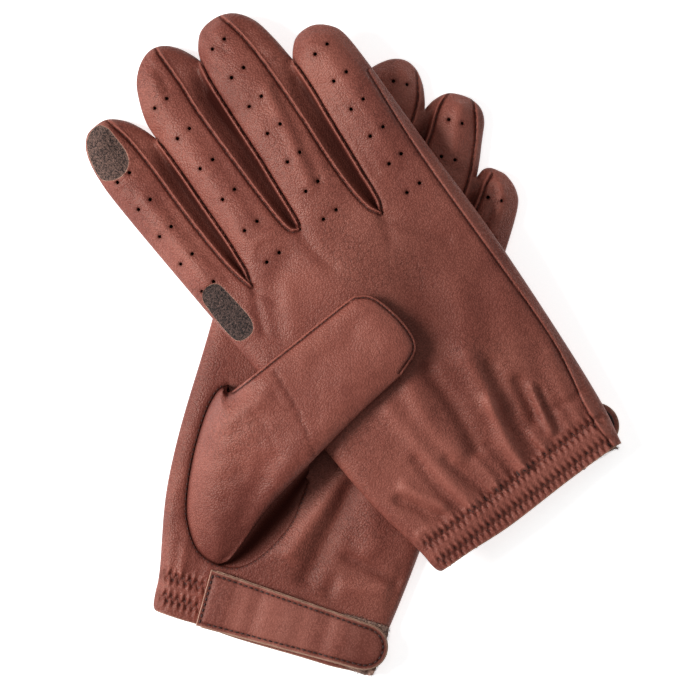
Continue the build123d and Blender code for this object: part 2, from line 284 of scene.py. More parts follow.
def soft_step(share):
    """A smooth rise from 0 at 0 to 1 at 1."""
    share = np.clip(share, 0, 1)
    return share * share * (3 - 2 * share)


def bell(away, width):
    """1 at 0, fading to 0 on both sides over this width."""
    return np.exp(-(away / width)**2)


WAVE_COUNT = 6
WAVE_GAIN = 1.6


def waves(uv, length, seed):
    """Smooth random swells from about -1 to 1, about this long."""
    rng = np.random.default_rng(seed)
    total = np.zeros(len(uv))
    for _ in range(WAVE_COUNT):
        angle, phase, stretch = rng.uniform(0, math.tau), rng.uniform(0, math.tau), rng.uniform(0.7, 1.5)
        total += np.sin((uv @ (math.cos(angle), math.sin(angle))) * math.tau / (length * stretch) + phase)
    return total / WAVE_COUNT * WAVE_GAIN


# Added points: one for each cell of this size, and none nearer than this to a point that is there
NEAR_CELL, NEAR_GAP = 0.32, 0.12
# Height of a row of even triangles, as a share of their width
ROW_SHARE = 0.87


def triangulate(loop, lines, cuts, near, spacing, seed):
    """A plane mesh inside a loop. Its edges follow the lines and the cuts, and near adds points."""
    points, edges = [], []

    def add(run, back_to_start):
        first = len(points)
        points.extend(run)
        last = len(points) - 1
        edges.extend((i, i + 1) for i in range(first, last))
        if back_to_start:
            edges.append((last, first))

    for outline in (loop, *cuts):
        add(outline, True)
    for line in lines:
        add(line, False)

    def keep(candidates, gap):
        tree = tree_of(points)
        candidates = candidates[inside(candidates, loop)]
        return [p for p in candidates if tree.find((p[0], p[1], 0))[2] > gap]

    near = np.vstack(near)
    cells = np.unique(np.floor(near / NEAR_CELL).astype(int), axis=0, return_index=True)[1]
    points.extend(keep(near[np.sort(cells)], NEAR_GAP))
    rng = np.random.default_rng(seed)
    low, high = loop.min(0), loop.max(0)
    rows = np.arange(low[1], high[1], spacing * ROW_SHARE)
    columns = np.arange(low[0], high[0], spacing)
    grid = np.array([(u + (i % 2) * spacing / 2, v) for i, v in enumerate(rows) for u in columns])
    grid += rng.uniform(-0.12, 0.12, grid.shape) * spacing
    points.extend(keep(grid, spacing * 0.55))

    verts, _, faces, *_ = delaunay_2d_cdt([Vector((p[0], p[1])) for p in points], edges, [], 0, 1e-7)
    uv = np.array([(p.x, p.y) for p in verts])
    faces = np.array([f for f in faces if len(f) == 3])
    centre = uv[faces].mean(1)
    good = inside(centre, loop)
    for cut in cuts:
        box = np.all((centre > cut.min(0) - 1) & (centre < cut.max(0) + 1), axis=1) & good
        good[box] &= ~inside(centre[box], cut)
    faces = faces[good]
    a, b, c = uv[faces[:, 0]], uv[faces[:, 1]], uv[faces[:, 2]]
    turn = (b - a)[:, 0] * (c - a)[:, 1] - (b - a)[:, 1] * (c - a)[:, 0]
    faces[turn < 0] = faces[turn < 0][:, ::-1]
    return uv, faces


# ---- gloves ----

def zigzag_swing(u):
    """How far the zigzag stitch is off its row's middle at u."""
    phase = ((u - ELASTIC_LEFT - ZIGZAG_MARGIN) / ZIGZAG_PITCH) % 1
    return ZIGZAG_SWING * (np.abs(2 * phase - 1) * -1 + 0.5)


def drape(x):
    """Height of the upper glove's underside over the world's x."""
    line_x, line_z = np.array(DRAPE_LINE).T
    shifts = np.linspace(-DRAPE_SOFTNESS, DRAPE_SOFTNESS, 9)
    return np.mean([np.interp(x + shift, line_x, line_z) for shift in shifts], axis=0)


# How the outline of a glove that isn't flat lies off the pattern: the heel's middle and its reach along v,
# then the shifts of the fingers and of the cuff's edge
HEEL, HEEL_REACH = 66, 42.6
LITTLE_FINGER_ROLL, RING_FINGER_TUCK = 5.5, 1.8
LITTLE_TIP_SHIFT, LITTLE_TIP_LIFT = 2.5, 3.0
MIDDLE_TIP_LIFT, RING_TIP_DROP = 0.8, 0.9
CUFF_DROP = 2.3


def seams_of(gaps):
    """The seams on both sides of each gap."""
    return {name: (curve(gap["left"], 0.9), curve(gap["right"], 0.9)) for name, gap in gaps.items()}


class Glove:
    """Where one glove's pattern lies, which side faces up, and how far its lines are off the pattern."""

    def __init__(self, name, v_at_mount, palm_up, left_bulge, slim, strap_rise, seed):
        mount = next(m for m in frame["record"]["mounts"] if m["name"] == f"{name}_wrist_opening")
        self.name = name
        self.palm_up = palm_up
        self.seed = seed
        self.strap_start = (STRAP_START[0], STRAP_START[1] + strap_rise)
        self.strap_end = (STRAP_END[0], STRAP_END[1] + strap_rise / 2)
        self.strap_half = STRAP_HALF_START - strap_rise / 2
        self.v_axis = -np.array(mount["axis"][:2])
        self.u_axis = np.array((self.v_axis[1], -self.v_axis[0]))
        self.origin = np.array(mount["pos_m"][:2]) / MM - self.v_axis * v_at_mount
        self.left_bulge, self.slim = left_bulge, slim
        outline = [curve(line, 1.1) for line in (LEFT_SIDE, MIDDLE_TIP, RING_TIP, RIGHT_SIDE)]
        self.rim = self.fitted(join(*outline))
        self.mouth = self.fitted(curve(WRIST_EDGE, 0.9))
        self.gaps = {True: seams_of(GAPS), False: seams_of(PALM_GAPS)}
        self.side_seam = self.fitted(curve(SIDE_SEAM, 1.0))
        self.thumb_seam = curve(THUMB_SEAM, 1.0)

    def fitted(self, line):
        """The pattern's side lines as they lie on this glove: the heel swells, the little finger rolls in,
        the fingertips shift and the edge of the cuff drops."""
        u, v = line.T
        swell = self.left_bulge * bell(v - HEEL, HEEL_REACH) * (u < 0)
        roll = self.slim * (LITTLE_FINGER_ROLL * soft_step((v - 105) / 45) * soft_step((u - 42) / 14)
                            + RING_FINGER_TUCK * bell(v - 226, 13) * (u > 26) * (u < 39))
        little_tip = self.slim * bell(u - 41, 4.2) * (v > 204)
        tips = MIDDLE_TIP_LIFT * bell(u + 10, 10) - RING_TIP_DROP * bell(u - 22, 12)
        lift = LITTLE_TIP_LIFT * little_tip + self.slim * tips * (v > 225)
        near_strap = 1 - 0.5 * soft_step((u - 30) / 16)
        drop = self.slim * (CUFF_DROP + soft_step((-20 - u) / 15)) * soft_step((10 - v) / 10) * near_strap
        return line + np.column_stack([-swell - roll - LITTLE_TIP_SHIFT * little_tip, lift - drop])

    def world(self, uv, h):
        """Points of the pattern, h above the back's outer face, in metres in the row frame."""
        xy = self.origin + uv[:, :1] * self.u_axis + uv[:, 1:] * self.v_axis
        h = np.broadcast_to(h, len(uv))
        z = h if self.palm_up else drape(xy[:, 0]) + THICKNESS - h
        return np.column_stack([xy, z]) * MM

    def gap_loop(self, name, back):
        """The outline of the leather between two fingers."""
        left, right = self.gaps[back][name]
        return np.vstack([left, (GAPS if back else PALM_GAPS)[name]["beyond"], right[::-1]])

    def hole_centres(self, back):
        """Centres of the punched holes, a little off their straight rows."""
        centres = []
        for first, last, count in BACK_HOLES if back else PALM_HOLES:
            for share in np.linspace(0, 1, count):
                left = np.array(first) + share * (np.array(last) - np.array(first))
                left = left + HOLE_DRIFT * np.sin(np.array((7.0, 11.0)) * (left[1] + self.seed))
                apart = HOLE_PAIR if back else PALM_HOLE_PAIR
                centres += [left, left + (apart, 0.25 * math.sin(left[1] * 3))]
        return np.array(centres)


# Folds and creases: line, width, height (below 0 for a valley)
BACK_FOLDS = [
    ([(19, 64), (17, 54), (14.4, 43)], 4.6, 1.7), ([(14.8, 45), (10.5, 29), (9.2, 14)], 2.5, 2.6),
    ([(2.2, 70), (2, 56), (0.7, 44), (-1.8, 32)], 3.0, -2.3),
    ([(-7.7, 68), (-10.5, 53), (-9.3, 36)], 4.6, 1.7),
    ([(24, 56), (21, 42), (17.5, 27), (15.5, 16)], 3.2, -1.9),
    ([(29.2, 43), (27, 33), (25, 27)], 2.6, -2.3), ([(32, 38), (29.2, 27), (26.8, 18)], 1.3, 2.0),
    ([(34.4, 35), (31.6, 25), (29.6, 17)], 1.6, -1.2), ([(36, 25), (41, 23), (46, 23.5)], 1.8, -0.9),
    ([(40, 16), (42, 28), (46, 44)], 3.0, 0.9), ([(-40, 35), (-35.5, 27), (-31, 19)], 2.2, -2.0),
    ([(-35, 38), (-31, 30), (-27.6, 22)], 2.3, 1.5),
    ([(-19.5, 66), (-19, 45), (-18, 27), (-16, 15)], 4.2, 1.5),
    ([(-14, 36), (-12, 25), (-10, 15)], 2.2, -1.6), ([(-24, 44), (-24, 30), (-22, 17)], 2.4, -1.3),
    ([(-44, 18), (-40, 19), (-35, 16.5)], 1.3, 0.8), ([(-4.6, 28), (-4, 20), (-4.4, 15)], 1.8, 1.3),
    ([(3, 30), (4.4, 21), (4, 14)], 1.8, -1.2), ([(20, 22), (20.6, 15)], 1.5, 1.1),
    ([(35, 22), (34, 15)], 1.5, 0.9), ([(-31, 120), (-24, 132)], 5.0, 0.7),
    ([(20, 68), (28, 76), (34, 92)], 6.0, 0.9), ([(34, 48), (40, 62), (46, 78)], 6.0, 0.9),
    ([(8, 74), (16, 88), (20, 104)], 8.0, -0.9), ([(-36, 120), (-24, 138), (-14, 143)], 4.0, -0.8),
    ([(-33, 141), (-37, 134), (-41, 124)], 1.6, -0.9), ([(-33, 140), (-29, 131)], 1.6, -0.7),
    ([(28, 131), (34, 120), (42, 108)], 2.6, -0.9), ([(27, 131), (24, 122)], 2.4, -0.7),
    ([(-3.5, 147), (-4, 138), (-2, 128)], 2.2, -0.8), ([(-52, 208), (-44, 205), (-38, 207)], 0.9, -0.5),
    ([(-52, 201), (-45, 203), (-38, 200)], 0.9, -0.45), ([(-50, 194), (-43, 192)], 0.9, -0.4),
    ([(5, 205), (12, 203), (24, 206)], 1.0, -0.4), ([(6, 198), (14, 200), (24, 197)], 1.0, -0.35),
    ([(-24, 190), (-16, 188), (-9, 191)], 1.0, -0.35), ([(40, 178), (48, 176), (56, 179)], 1.0, -0.35),
    ([(-10, 243), (-9, 236), (-10, 230)], 2.0, -0.8), ([(-21, 237), (-17, 241), (-12, 244)], 0.9, -0.7),
    ([(16, 238), (18, 232), (18, 226)], 1.8, -0.7), ([(-26, 152), (-20, 156), (-12, 154)], 1.6, 0.5),
    ([(22.4, 204), (17.4, 182), (11, 160)], 2.6, 0.8), ([(26, 200), (21.6, 180), (16, 160)], 2.4, -0.7),
    ([(-20, 200), (-21, 178), (-24, 158)], 2.8, 0.7), ([(-11, 206), (-12, 180), (-14, 160)], 2.6, -0.6),
    ([(50, 196), (49, 172), (46, 148)], 3.0, 0.6), ([(41, 190), (39, 166), (36, 148)], 2.4, -0.6),
    ([(-46, 200), (-47, 176), (-47, 158)], 3.0, 0.5), ([(-40.5, 196), (-40.5, 172), (-39, 152)], 1.8, -0.6),
    ([(-27, 216), (-20, 219)], 1.0, -0.5), ([(-25, 224), (-18, 222)], 1.0, -0.5),
    ([(30, 215), (27, 222)], 1.2, -0.5), ([(36, 206), (44, 208)], 1.0, -0.5),
]
PALM_FOLDS = [
    ([(16.5, 74), (9.6, 55), (3.4, 37)], 4.2, 2.2), ([(20, 70), (17, 50), (12.6, 28)], 3.8, -2.2),
    ([(30, 68), (35, 48)], 6.0, 1.3), ([(27, 40.6), (38, 38.8), (49, 36)], 2.2, -1.3),
    ([(29, 29), (38, 30), (44, 32)], 3.6, 1.1), ([(50, 42), (49.6, 26)], 2.6, -0.8),
    ([(24, 30), (23, 22)], 2.4, -0.8), ([(-46, 18), (-50, 32), (-51, 48)], 2.4, 0.9),
    ([(-31, 12), (-32, 24)], 2.0, -0.6), ([(-38, 16), (-40, 26)], 1.8, 0.7),
    ([(17, 216), (23, 214), (29, 216)], 1.1, -0.5), ([(16, 208), (22, 210), (30, 208)], 1.0, -0.5),
    ([(-12, 226), (-6, 224), (2, 226)], 1.1, -0.5), ([(22, 236), (23, 226), (25, 214)], 3.0, 0.8),
    ([(44, 207), (46.6, 199), (45, 190)], 1.1, -0.9), ([(48, 208), (49.6, 198), (49, 186)], 1.8, 0.7),
    ([(-3, 240), (-2, 230)], 3.0, 0.6), ([(26, 222), (31, 219)], 0.9, -0.4),
]
# Broad painted light and shade on the back that faces up: centre, width, amount (below 0 for painted shade)
BACK_PAINTED_LIGHT = [((16, 95), 38, -0.3), ((9, 50), 14, -0.18), ((-18, 128), 18, 0.26), ((-36, 42), 16, 0.2),
              ((10, 210), 12, -0.24), ((42, 190), 12, 0.16)]

# Panel meshes: spacing on the side that faces up and on the hidden one, and rows of points beside the seams
UPPER_MESH, HIDDEN_MESH = 1.5, 2.2
GAP_COLUMNS = 90
VALLEY_ROWS = (0.2, 0.35, 0.5, 0.62, 0.72, 0.8, 0.87, 0.93)
SEAM_ROWS = (-1.5, -1.0, -0.6, -0.28, 0.28, 0.6, 1.0, 1.5)
SIDE_SEAM_ROWS = (-1.2, -0.6, -0.2, 0.2, 0.6, 1.2)
THUMB_SEAM_ROWS = (-2.0, -1.2, -0.6)
PATCH_ROWS = (-0.9, -0.4, -0.16, 0.16, 0.4, 0.9)
RIM_ROWS = (-0.15, -0.5, -1.1, -1.9, -3.0, -4.2)
MOUTH_ROWS = (-0.16, -0.6)

# Gathers: swell and ribs between the zigzag rows, puffs and groove along a row, and the pinch under a thread
BAND_SWELL, BAND_RIBS, ROW_PUFF, ROW_GROOVE = 0.5, 0.1, 0.52, 0.4
PINCH_DEPTH, PINCH_WIDTH = 0.42, 0.42

# The two sides of a seam, the one past it and the one before it: height or amount of painted highlight and
# shade, place, width
GAP_SEAM = ((0.75, 0.6, 0.5), (-0.85, 0.45, 0.5))
GAP_SEAM_PAINTED_LIGHT_AND_SHADE = ((0.7, 0.6, 0.5), (-0.9, 0.4, 0.5))
SIDE_SEAM_RELIEF = ((0.5, 0.7, 0.6), (-0.75, 0.3, 0.55))
SIDE_SEAM_PAINTED_LIGHT_AND_SHADE = ((0.4, 0.7, 0.6), (-0.8, 0.3, 0.5))

# The valley between two fingers: where it starts beside its left and right seams, where across it the steep
# side starts, its slope and its greatest depth, and where it ends before the fingertips, and how softly
VALLEY_LEFT, VALLEY_RIGHT = 0.9, 1.1
VALLEY_STEEP, VALLEY_SLOPE, VALLEY_DEPTH = 0.84, 0.85, 6.0
VALLEY_END, VALLEY_FADE = 16, 18
# The fingers grow round from here on, over this length. Their crown rises over their shoulders
FINGERS_FROM, FINGERS_GROW = 138, 26
FINGER_CROWN, FINGER_SHOULDER, FINGER_SINK = 3.0, 11, 0.8
# Height and length of the leather's swells, radius of a glove's side and how much more a finger's has
BROAD_SWELL, FINE_SWELL = (0.22, 34), (0.12, 15)
SIDE_RADIUS, FINGER_EXTRA_RADIUS = 7.5, 2.0
HOLE_DIP_WIDTH, HOLE_DIP_DEPTH = 1.2, 0.34
THUMB_SEAM_DEPTH = 0.7
# Painted highlight for each millimetre of a raised fold, and painted shade for each millimetre of a sunken one
FOLD_PAINTED_LIGHT_AND_SHADE = (0.17, 0.12)


def row_height(row, u):
    """Height of a zigzag row's middle at u."""
    left, right = ZIGZAG_ROWS[row]
    share = (u - ELASTIC_LEFT) / (ELASTIC_RIGHT - ELASTIC_LEFT)
    return left + (right - left) * share


def beside_seam(beyond, away, ridge, groove):
    """A ridge past a seam and a groove before it. Each has a size, a place and a width."""
    sides = [size * bell(away - place, width) for size, place, width in (ridge, groove)]
    return np.where(beyond, *sides)


def spots_of_painted_light(uv, spots):
    """Soft round spots of painted light and shade."""
    return sum(painted_light_and_tone * bell(np.linalg.norm(uv - centre, axis=1), width) for centre, width, painted_light_and_tone in spots)


class Surface:
    """The outer face of one panel of a glove, the back or the palm."""

    def __init__(self, glove, back):
        self.glove = glove
        self.back = back
        self.up = glove.palm_up != back
        self.holes = glove.hole_centres(back)
        folds = BACK_FOLDS if back else PALM_FOLDS
        self.folds = [(curve(line, 3), width, height) for line, width, height in folds]
        self.patches = {name: closed_curve(loop, 0.8) for name, loop in PATCHES.items()} if back else {}
        rng = np.random.default_rng(glove.seed + back)
        self.puckers = [(u + rng.uniform(-1.5, 1.5), rng.uniform(0.25, 0.7), rng.uniform(8, 22),
                         rng.uniform(-0.12, 0.12)) for u in np.arange(-42, 45, 4.3)]

    def gathers(self, uv):
        """Ribs between the zigzag rows and soft puckers above them."""
        u, v = uv.T
        low, high = row_height(0, u), row_height(1, u)
        share = (v - low) / (high - low)
        reach = 1.0 if self.back else soft_step((ELASTIC_PALM_END + 2 - u) / 3)
        wave = np.cos((u - ELASTIC_LEFT - ZIGZAG_MARGIN) / ZIGZAG_PITCH * math.tau)
        size = 1 + 0.35 * np.sin(u * 0.83 + self.glove.seed) + 0.25 * np.sin(u * 2.1)
        height = BAND_SWELL * np.clip(1 - (2 * share - 1)**2, 0, 1)
        height += BAND_RIBS * size * wave * bell(share - 0.5, 0.35)
        for row in (low, high):
            above = v - row
            side = np.abs(above)
            puff = np.sign(above) * wave * soft_step(side / 1.1) * bell(np.clip(side - 1.6, 0, None), 1.8)
            height += ROW_PUFF * size * puff - ROW_GROOVE * bell(above, 2.2)
            pinch = bell((above - zigzag_swing(u)) * ZIGZAG_SLOPE, PINCH_WIDTH)
            height -= PINCH_DEPTH * pinch * soft_step((ZIGZAG_SWING / 2 + 1.0 - side) / 0.9)
        above = v - high
        for centre, size, length, lean in self.puckers:
            fade = soft_step(above / 3) * np.exp(-np.clip(above, 0, None) / length)
            height += size * 1.3 * fade * bell(u - centre - lean * above, 1.6)
        return height * reach

    def fold_relief(self, uv):
        """Height of the folds, with painted highlights on the raised ones and painted shade in the sunken ones.
        """
        relief, painted_light_and_tone = np.zeros(len(uv)), np.zeros(len(uv))
        for line, width, height in self.folds:
            fold = height * bell(distance(uv, line), width)
            relief += fold
            # Painted highlight on raised folds, painted shade in sunken ones
            painted_light_and_tone += np.where(fold > 0, *FOLD_PAINTED_LIGHT_AND_SHADE) * fold
        return relief, painted_light_and_tone

    def finger_relief(self, uv, to_rim, finger):
        """Round fingers, valleys between them darkened with painted shade, and the seams beside the valleys
        with painted highlights and shade.
        """
        relief, painted_light_and_tone = np.zeros(len(uv)), np.zeros(len(uv))
        nearest = np.full(len(uv), np.inf)
        in_gap = np.zeros(len(uv), bool)
        for name, (left, right) in self.glove.gaps[self.back].items():
            to_left, to_right = distance(uv, left), distance(uv, right)
            within = inside(uv, self.glove.gap_loop(name, self.back))
            in_gap |= within
            nearest = np.minimum(nearest, np.minimum(to_left, to_right))
            from_left, from_right = to_left - VALLEY_LEFT, np.clip(to_right - VALLEY_RIGHT, 0, None)
            across = np.clip(from_left, 0, None) / (np.abs(from_left) + from_right + 0.05)
            shape = np.where(across < VALLEY_STEEP, soft_step(across / VALLEY_STEEP * 0.95),
                             soft_step((1 - across) / (1 - VALLEY_STEEP)))
            # Painted shade across the valley, deepest by its steep side
            valley_painted_shade = soft_step(across / 0.8) * soft_step((1 - across) / 0.05)
            before_tips = 1 - soft_step((uv[:, 1] - GAPS[name]["notch"] + VALLEY_END) / VALLEY_FADE)
            depth = np.minimum(VALLEY_DEPTH, VALLEY_SLOPE * (to_left + to_right)) * shape * before_tips
            relief -= np.where(within, depth, 0)
            # Painted shade in the valley, and a little over the whole gap
            painted_light_and_tone -= np.where(within, 0.95 * valley_painted_shade * before_tips + 0.12, 0)
        edge = np.minimum(nearest, to_rim)
        crown = FINGER_CROWN * (1 - (1 - np.clip(edge, 0, FINGER_SHOULDER) / FINGER_SHOULDER)**2) - FINGER_SINK
        relief += np.where(in_gap, 0, crown * finger) + beside_seam(in_gap, nearest, *GAP_SEAM)
        # Painted highlight on the ridge past each seam, painted shade in the groove before it
        return relief, painted_light_and_tone + beside_seam(in_gap, nearest, *GAP_SEAM_PAINTED_LIGHT_AND_SHADE)

    def seam_relief(self, uv):
        """The side seam on the back with painted highlight and shade beside it, or the thumb's seam in the palm
        with painted shade along it.
        """
        if not self.back:
            to_thumb = distance(uv, self.glove.thumb_seam)
            # Painted shade along the thumb's seam
            return -THUMB_SEAM_DEPTH * bell(to_thumb, 1.3), -0.7 * bell(to_thumb, 1.0)
        seam = self.glove.side_seam
        beyond = inside(uv, np.vstack([seam, (90, 183), (90, -3)]))
        away = distance(uv, seam)
        # Painted highlight past the side seam, painted shade before it
        return beside_seam(beyond, away, *SIDE_SEAM_RELIEF), beside_seam(beyond, away, *SIDE_SEAM_PAINTED_LIGHT_AND_SHADE)

    def cut_relief(self, uv):
        """Sunken inlays, and the dips at the punched holes, darkened with painted shade."""
        relief, painted_light_and_tone = np.zeros(len(uv)), np.zeros(len(uv))
        for loop in self.patches.values():
            away = distance(uv, closed(loop))
            rise = 0.25 * bell(away - 0.7, 0.7)
            relief += np.where(inside(uv, loop), -PATCH_DEPTH * soft_step(away / 0.4), rise)
        for hole in self.holes:
            dip = bell(np.linalg.norm(uv - hole, axis=1), HOLE_DIP_WIDTH)
            relief -= HOLE_DIP_DEPTH * dip
            # Painted shade in each hole's dip
            painted_light_and_tone -= 0.8 * dip
        for left, right in zip(self.holes[::2], self.holes[1::2]):
            relief -= 0.13 * bell(distance(uv, np.array((left - (1.5, 0), right + (1.5, 0)))), 0.5)
        return relief, painted_light_and_tone

    def broad_painted_light(self, uv):
        """Broad painted light and shade over large parts of a side that faces up."""
        if not self.up:
            return np.zeros(len(uv))
        if self.back:
            # Painted light and shade in soft spots on the back
            return spots_of_painted_light(uv, BACK_PAINTED_LIGHT)
        # Painted light near the fingertips, painted shade low on the palm
        return 0.2 * soft_step((uv[:, 1] - 185) / 15) - 0.16 * soft_step((110 - uv[:, 1]) / 20)

    def bulge(self, uv):
        """How far the face stands out from the glove's middle, and its painted light and shade."""
        u, v = uv.T
        to_rim = distance(uv, self.glove.rim)
        finger = soft_step((v - FINGERS_FROM) / FINGERS_GROW)
        gathers = self.gathers(uv)
        detail = gathers.copy()
        for (size, length), seed in ((BROAD_SWELL, self.glove.seed), (FINE_SWELL, self.glove.seed + 5)):
            detail += size * waves(uv, length, seed)
        # Painted highlights on the elastic's puffs, painted shade in its pits, and broad painted light and
        # shade
        shade = 0.42 * np.clip(gathers, -0.2, 0.8) + self.broad_painted_light(uv)
        fingers = self.finger_relief(uv, to_rim, finger)
        for relief, painted_light_and_tone in (self.fold_relief(uv), fingers, self.seam_relief(uv), self.cut_relief(uv)):
            detail += relief
            shade += painted_light_and_tone
        if not self.back:
            strap = soft_step((u - ELASTIC_PALM_END - 1) / 3) * soft_step((24 - v) / 5)
            detail = detail * (1 - strap) - 0.15 * strap
        if not self.up:
            detail = np.minimum(detail, 0) * 0.6
        radius = SIDE_RADIUS + FINGER_EXTRA_RADIUS * finger
        height = MIDDLE * dome(to_rim / radius) + detail * soft_step(to_rim / 4.5)
        inner = soft_step(to_rim / 3)
        floor = VALLEY_FLOOR * inner
        return (height + floor + np.sqrt((height - floor)**2 + (0.7 * inner)**2)) / 2, shade

    def height(self, uv):
        """Height h of the outer face."""
        out = self.bulge(uv)[0]
        return MIDDLE - out if self.back else MIDDLE + out


def panel(surface, spacing):
    """The flat mesh of one panel, its heights, its painted light and shade, its cut edges and its face groups.
    """
    glove = surface.glove
    loop = np.vstack([glove.rim[:-1], glove.mouth[:-1]])
    lines, cuts, near = [], [], []
    for sides in glove.gaps[surface.back].values():
        share = np.linspace(0, 1, GAP_COLUMNS)
        left, right = [side[np.round(share * (len(side) - 1)).astype(int)] for side in sides]
        near += [left + t * (right - left) for t in VALLEY_ROWS]
        for side in sides:
            lines.append(side[1:-1])
            near += side_rows(side, SEAM_ROWS)
    if surface.back:
        near += side_rows(glove.side_seam, SIDE_SEAM_ROWS)
    for centre in surface.holes:
        cuts.append(circle(centre, HOLE_RADIUS))
        near += [circle(centre, HOLE_RADIUS * 1.5), circle(centre, HOLE_RADIUS * 2.4)]
    if not surface.back:
        seam = np.vstack([glove.thumb_seam[:-1], curve(THUMB_SEAM_TOP, 1.2)[:-1]])
        cuts.append(seam)
        near += side_rows(seam, THUMB_SEAM_ROWS)
    for patch in surface.patches.values():
        lines.append(closed(patch))
        near += side_rows(patch, PATCH_ROWS)
    near += side_rows(glove.rim, RIM_ROWS) + side_rows(glove.mouth, MOUTH_ROWS)
    right = ELASTIC_RIGHT if surface.back else ELASTIC_PALM_END
    near.append(np.array([(u, v) for u in np.arange(ELASTIC_LEFT, right + 1, GATHER_STEP)
                          for v in np.arange(ELASTIC_LOW - 3, ELASTIC_HIGH + 1, GATHER_STEP)]))
    uv, faces = triangulate(loop, lines, cuts, near, spacing, glove.seed)
    out, shade = surface.bulge(uv)
    out[distance(uv, glove.rim) < 1e-4] = 0
    cut_edge = 0.8 * bell(distance(uv, glove.mouth), 0.3)
    for patch in surface.patches.values():
        cut_edge = np.maximum(cut_edge, distance(uv, closed(patch)) < 1e-3)
    centre = uv[faces].mean(1)
    group = np.zeros(len(faces), int)
    loops = [glove.gap_loop(name, surface.back) for name in GAPS] + list(surface.patches.values())
    for number, outline in enumerate(loops, 1):
        group[inside(centre, outline)] = number
    return uv, MIDDLE - out if surface.back else MIDDLE + out, faces, group, shade, cut_edge


# ---- meshes ----

def new_mesh(name, points, faces, materials, attributes=None):
    """A smooth-shaded object from points in metres."""
    mesh = bpy.data.meshes.new(name)
    mesh.from_pydata([tuple(p) for p in points], [], [tuple(int(i) for i in f) for f in faces])
    mesh.validate()
    mesh.polygons.foreach_set("use_smooth", [True] * len(mesh.polygons))
    for key, values in (attributes or {}).items():
        layer = mesh.attributes.new(key, "FLOAT", "POINT")
        layer.data.foreach_set("value", np.asarray(values, np.float32))
    for material in materials:
        mesh.materials.append(material)
    piece = bpy.data.objects.new(name, mesh)
    bpy.context.scene.collection.objects.link(piece)
    return piece


def trimmed(points, faces, attributes):
    """Only the points that the faces use."""
    faces = np.asarray(faces)
    used, flat = np.unique(faces, return_inverse=True)
    return points[used], flat.reshape(faces.shape), {key: value[used] for key, value in attributes.items()}


def welded(points, faces, attributes):
    """Points at the same place made one."""
    keys = np.round(points / MM, 3)
    _, first, back = np.unique(keys, axis=0, return_index=True, return_inverse=True)
    faces = back.reshape(-1)[faces]
    ok = (faces[:, 0] != faces[:, 1]) & (faces[:, 1] != faces[:, 2]) & (faces[:, 2] != faces[:, 0])
    return points[first], faces[ok], {key: value[first] for key, value in attributes.items()}


def thicken(piece, wall):
    """Gives a face of leather its thickness, inwards."""
    solid = piece.modifiers.new("wall", "SOLIDIFY")
    solid.thickness = wall * MM
    solid.offset = -1
    solid.use_even_offset = False
    solid.material_offset = 1
    solid.material_offset_rim = 0


def attach(piece, glove, nodes, bend=None):
    """A piece rides on its glove, or keeps its place in the world when a bend is given, and stands for CAD
    nodes, which are hidden.
    """
    if bend:
        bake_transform(piece)
    else:
        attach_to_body(piece, f"{glove.name}_glove")
    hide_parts(*[f"{glove.name}_{node}" for node in nodes])


def slab(glove, name, loop, low, high, material, spacing, edge, near=(), painted_light_and_tone=None):
    """A flat piece with a closed outline. low and high give its two faces' heights."""
    line = closed(loop)
    rings = [ring[:-1] for ring in side_rows(line, (edge, 2.2 * edge, 1.2, 2.4))]
    uv, faces = triangulate(loop, [], [], rings + list(near), spacing, 1)
    count = len(uv)
    away = distance(uv, line)
    soft = edge * (1 - dome(away / (2.2 * edge)))
    points = np.vstack([glove.world(uv, low(uv) + soft), glove.world(uv, high(uv) - soft)])
    tree = tree_of(uv)
    ring = [tree.find((p[0], p[1], 0))[1] for p in loop]
    sides = []
    for a, b in zip(ring, ring[1:] + ring[:1]):
        sides += [(a, b, b + count), (a, b + count, a + count)]
    every = np.vstack([faces[:, ::-1], faces + count, sides])
    if not glove.palm_up:
        every = every[:, ::-1]
    shade = np.tile(painted_light_and_tone(uv) if painted_light_and_tone else np.zeros(count), 2)
    attributes = {"shade": shade, "cut": np.tile(bell(away, 0.24), 2)}
    return new_mesh(f"{glove.name}_{name}", points, every, [material], attributes)


# ---- stitches and hairs ----

CAPSULE_SIDES = 6
# Rings along a stitch: share of its length, share of its radius
CAPSULE = [(0.0, 0.25), (0.12, 0.85), (0.35, 1.0), (0.65, 1.0), (0.88, 0.85), (1.0, 0.25)]
# Length and pitch of the stitches, and radius of each thread
FINGER_RUN = (1.1, 1.9)
SEAM_RUN = (1.2, 2.1)
SEAM_THREAD, ZIGZAG_RADIUS, STRAP_THREAD, STRAP_END_THREAD = 0.2, 0.18, 0.37, 0.4
# How far the stitches lie beside their seam, and how deep in the leather
SEAM_OFFSET, THUMB_SEAM_OFFSET = 0.45, 0.7
STITCH_SINK = 0.05
ZIGZAG_SINK = 0.02
TRIANGLE = 3


def ring_round(centre, radius, side, other, sides):
    """Points evenly round a centre, in the plane of two directions."""
    return [centre + radius * (math.cos(k * math.tau / sides) * side + math.sin(k * math.tau / sides) * other)
            for k in range(sides)]


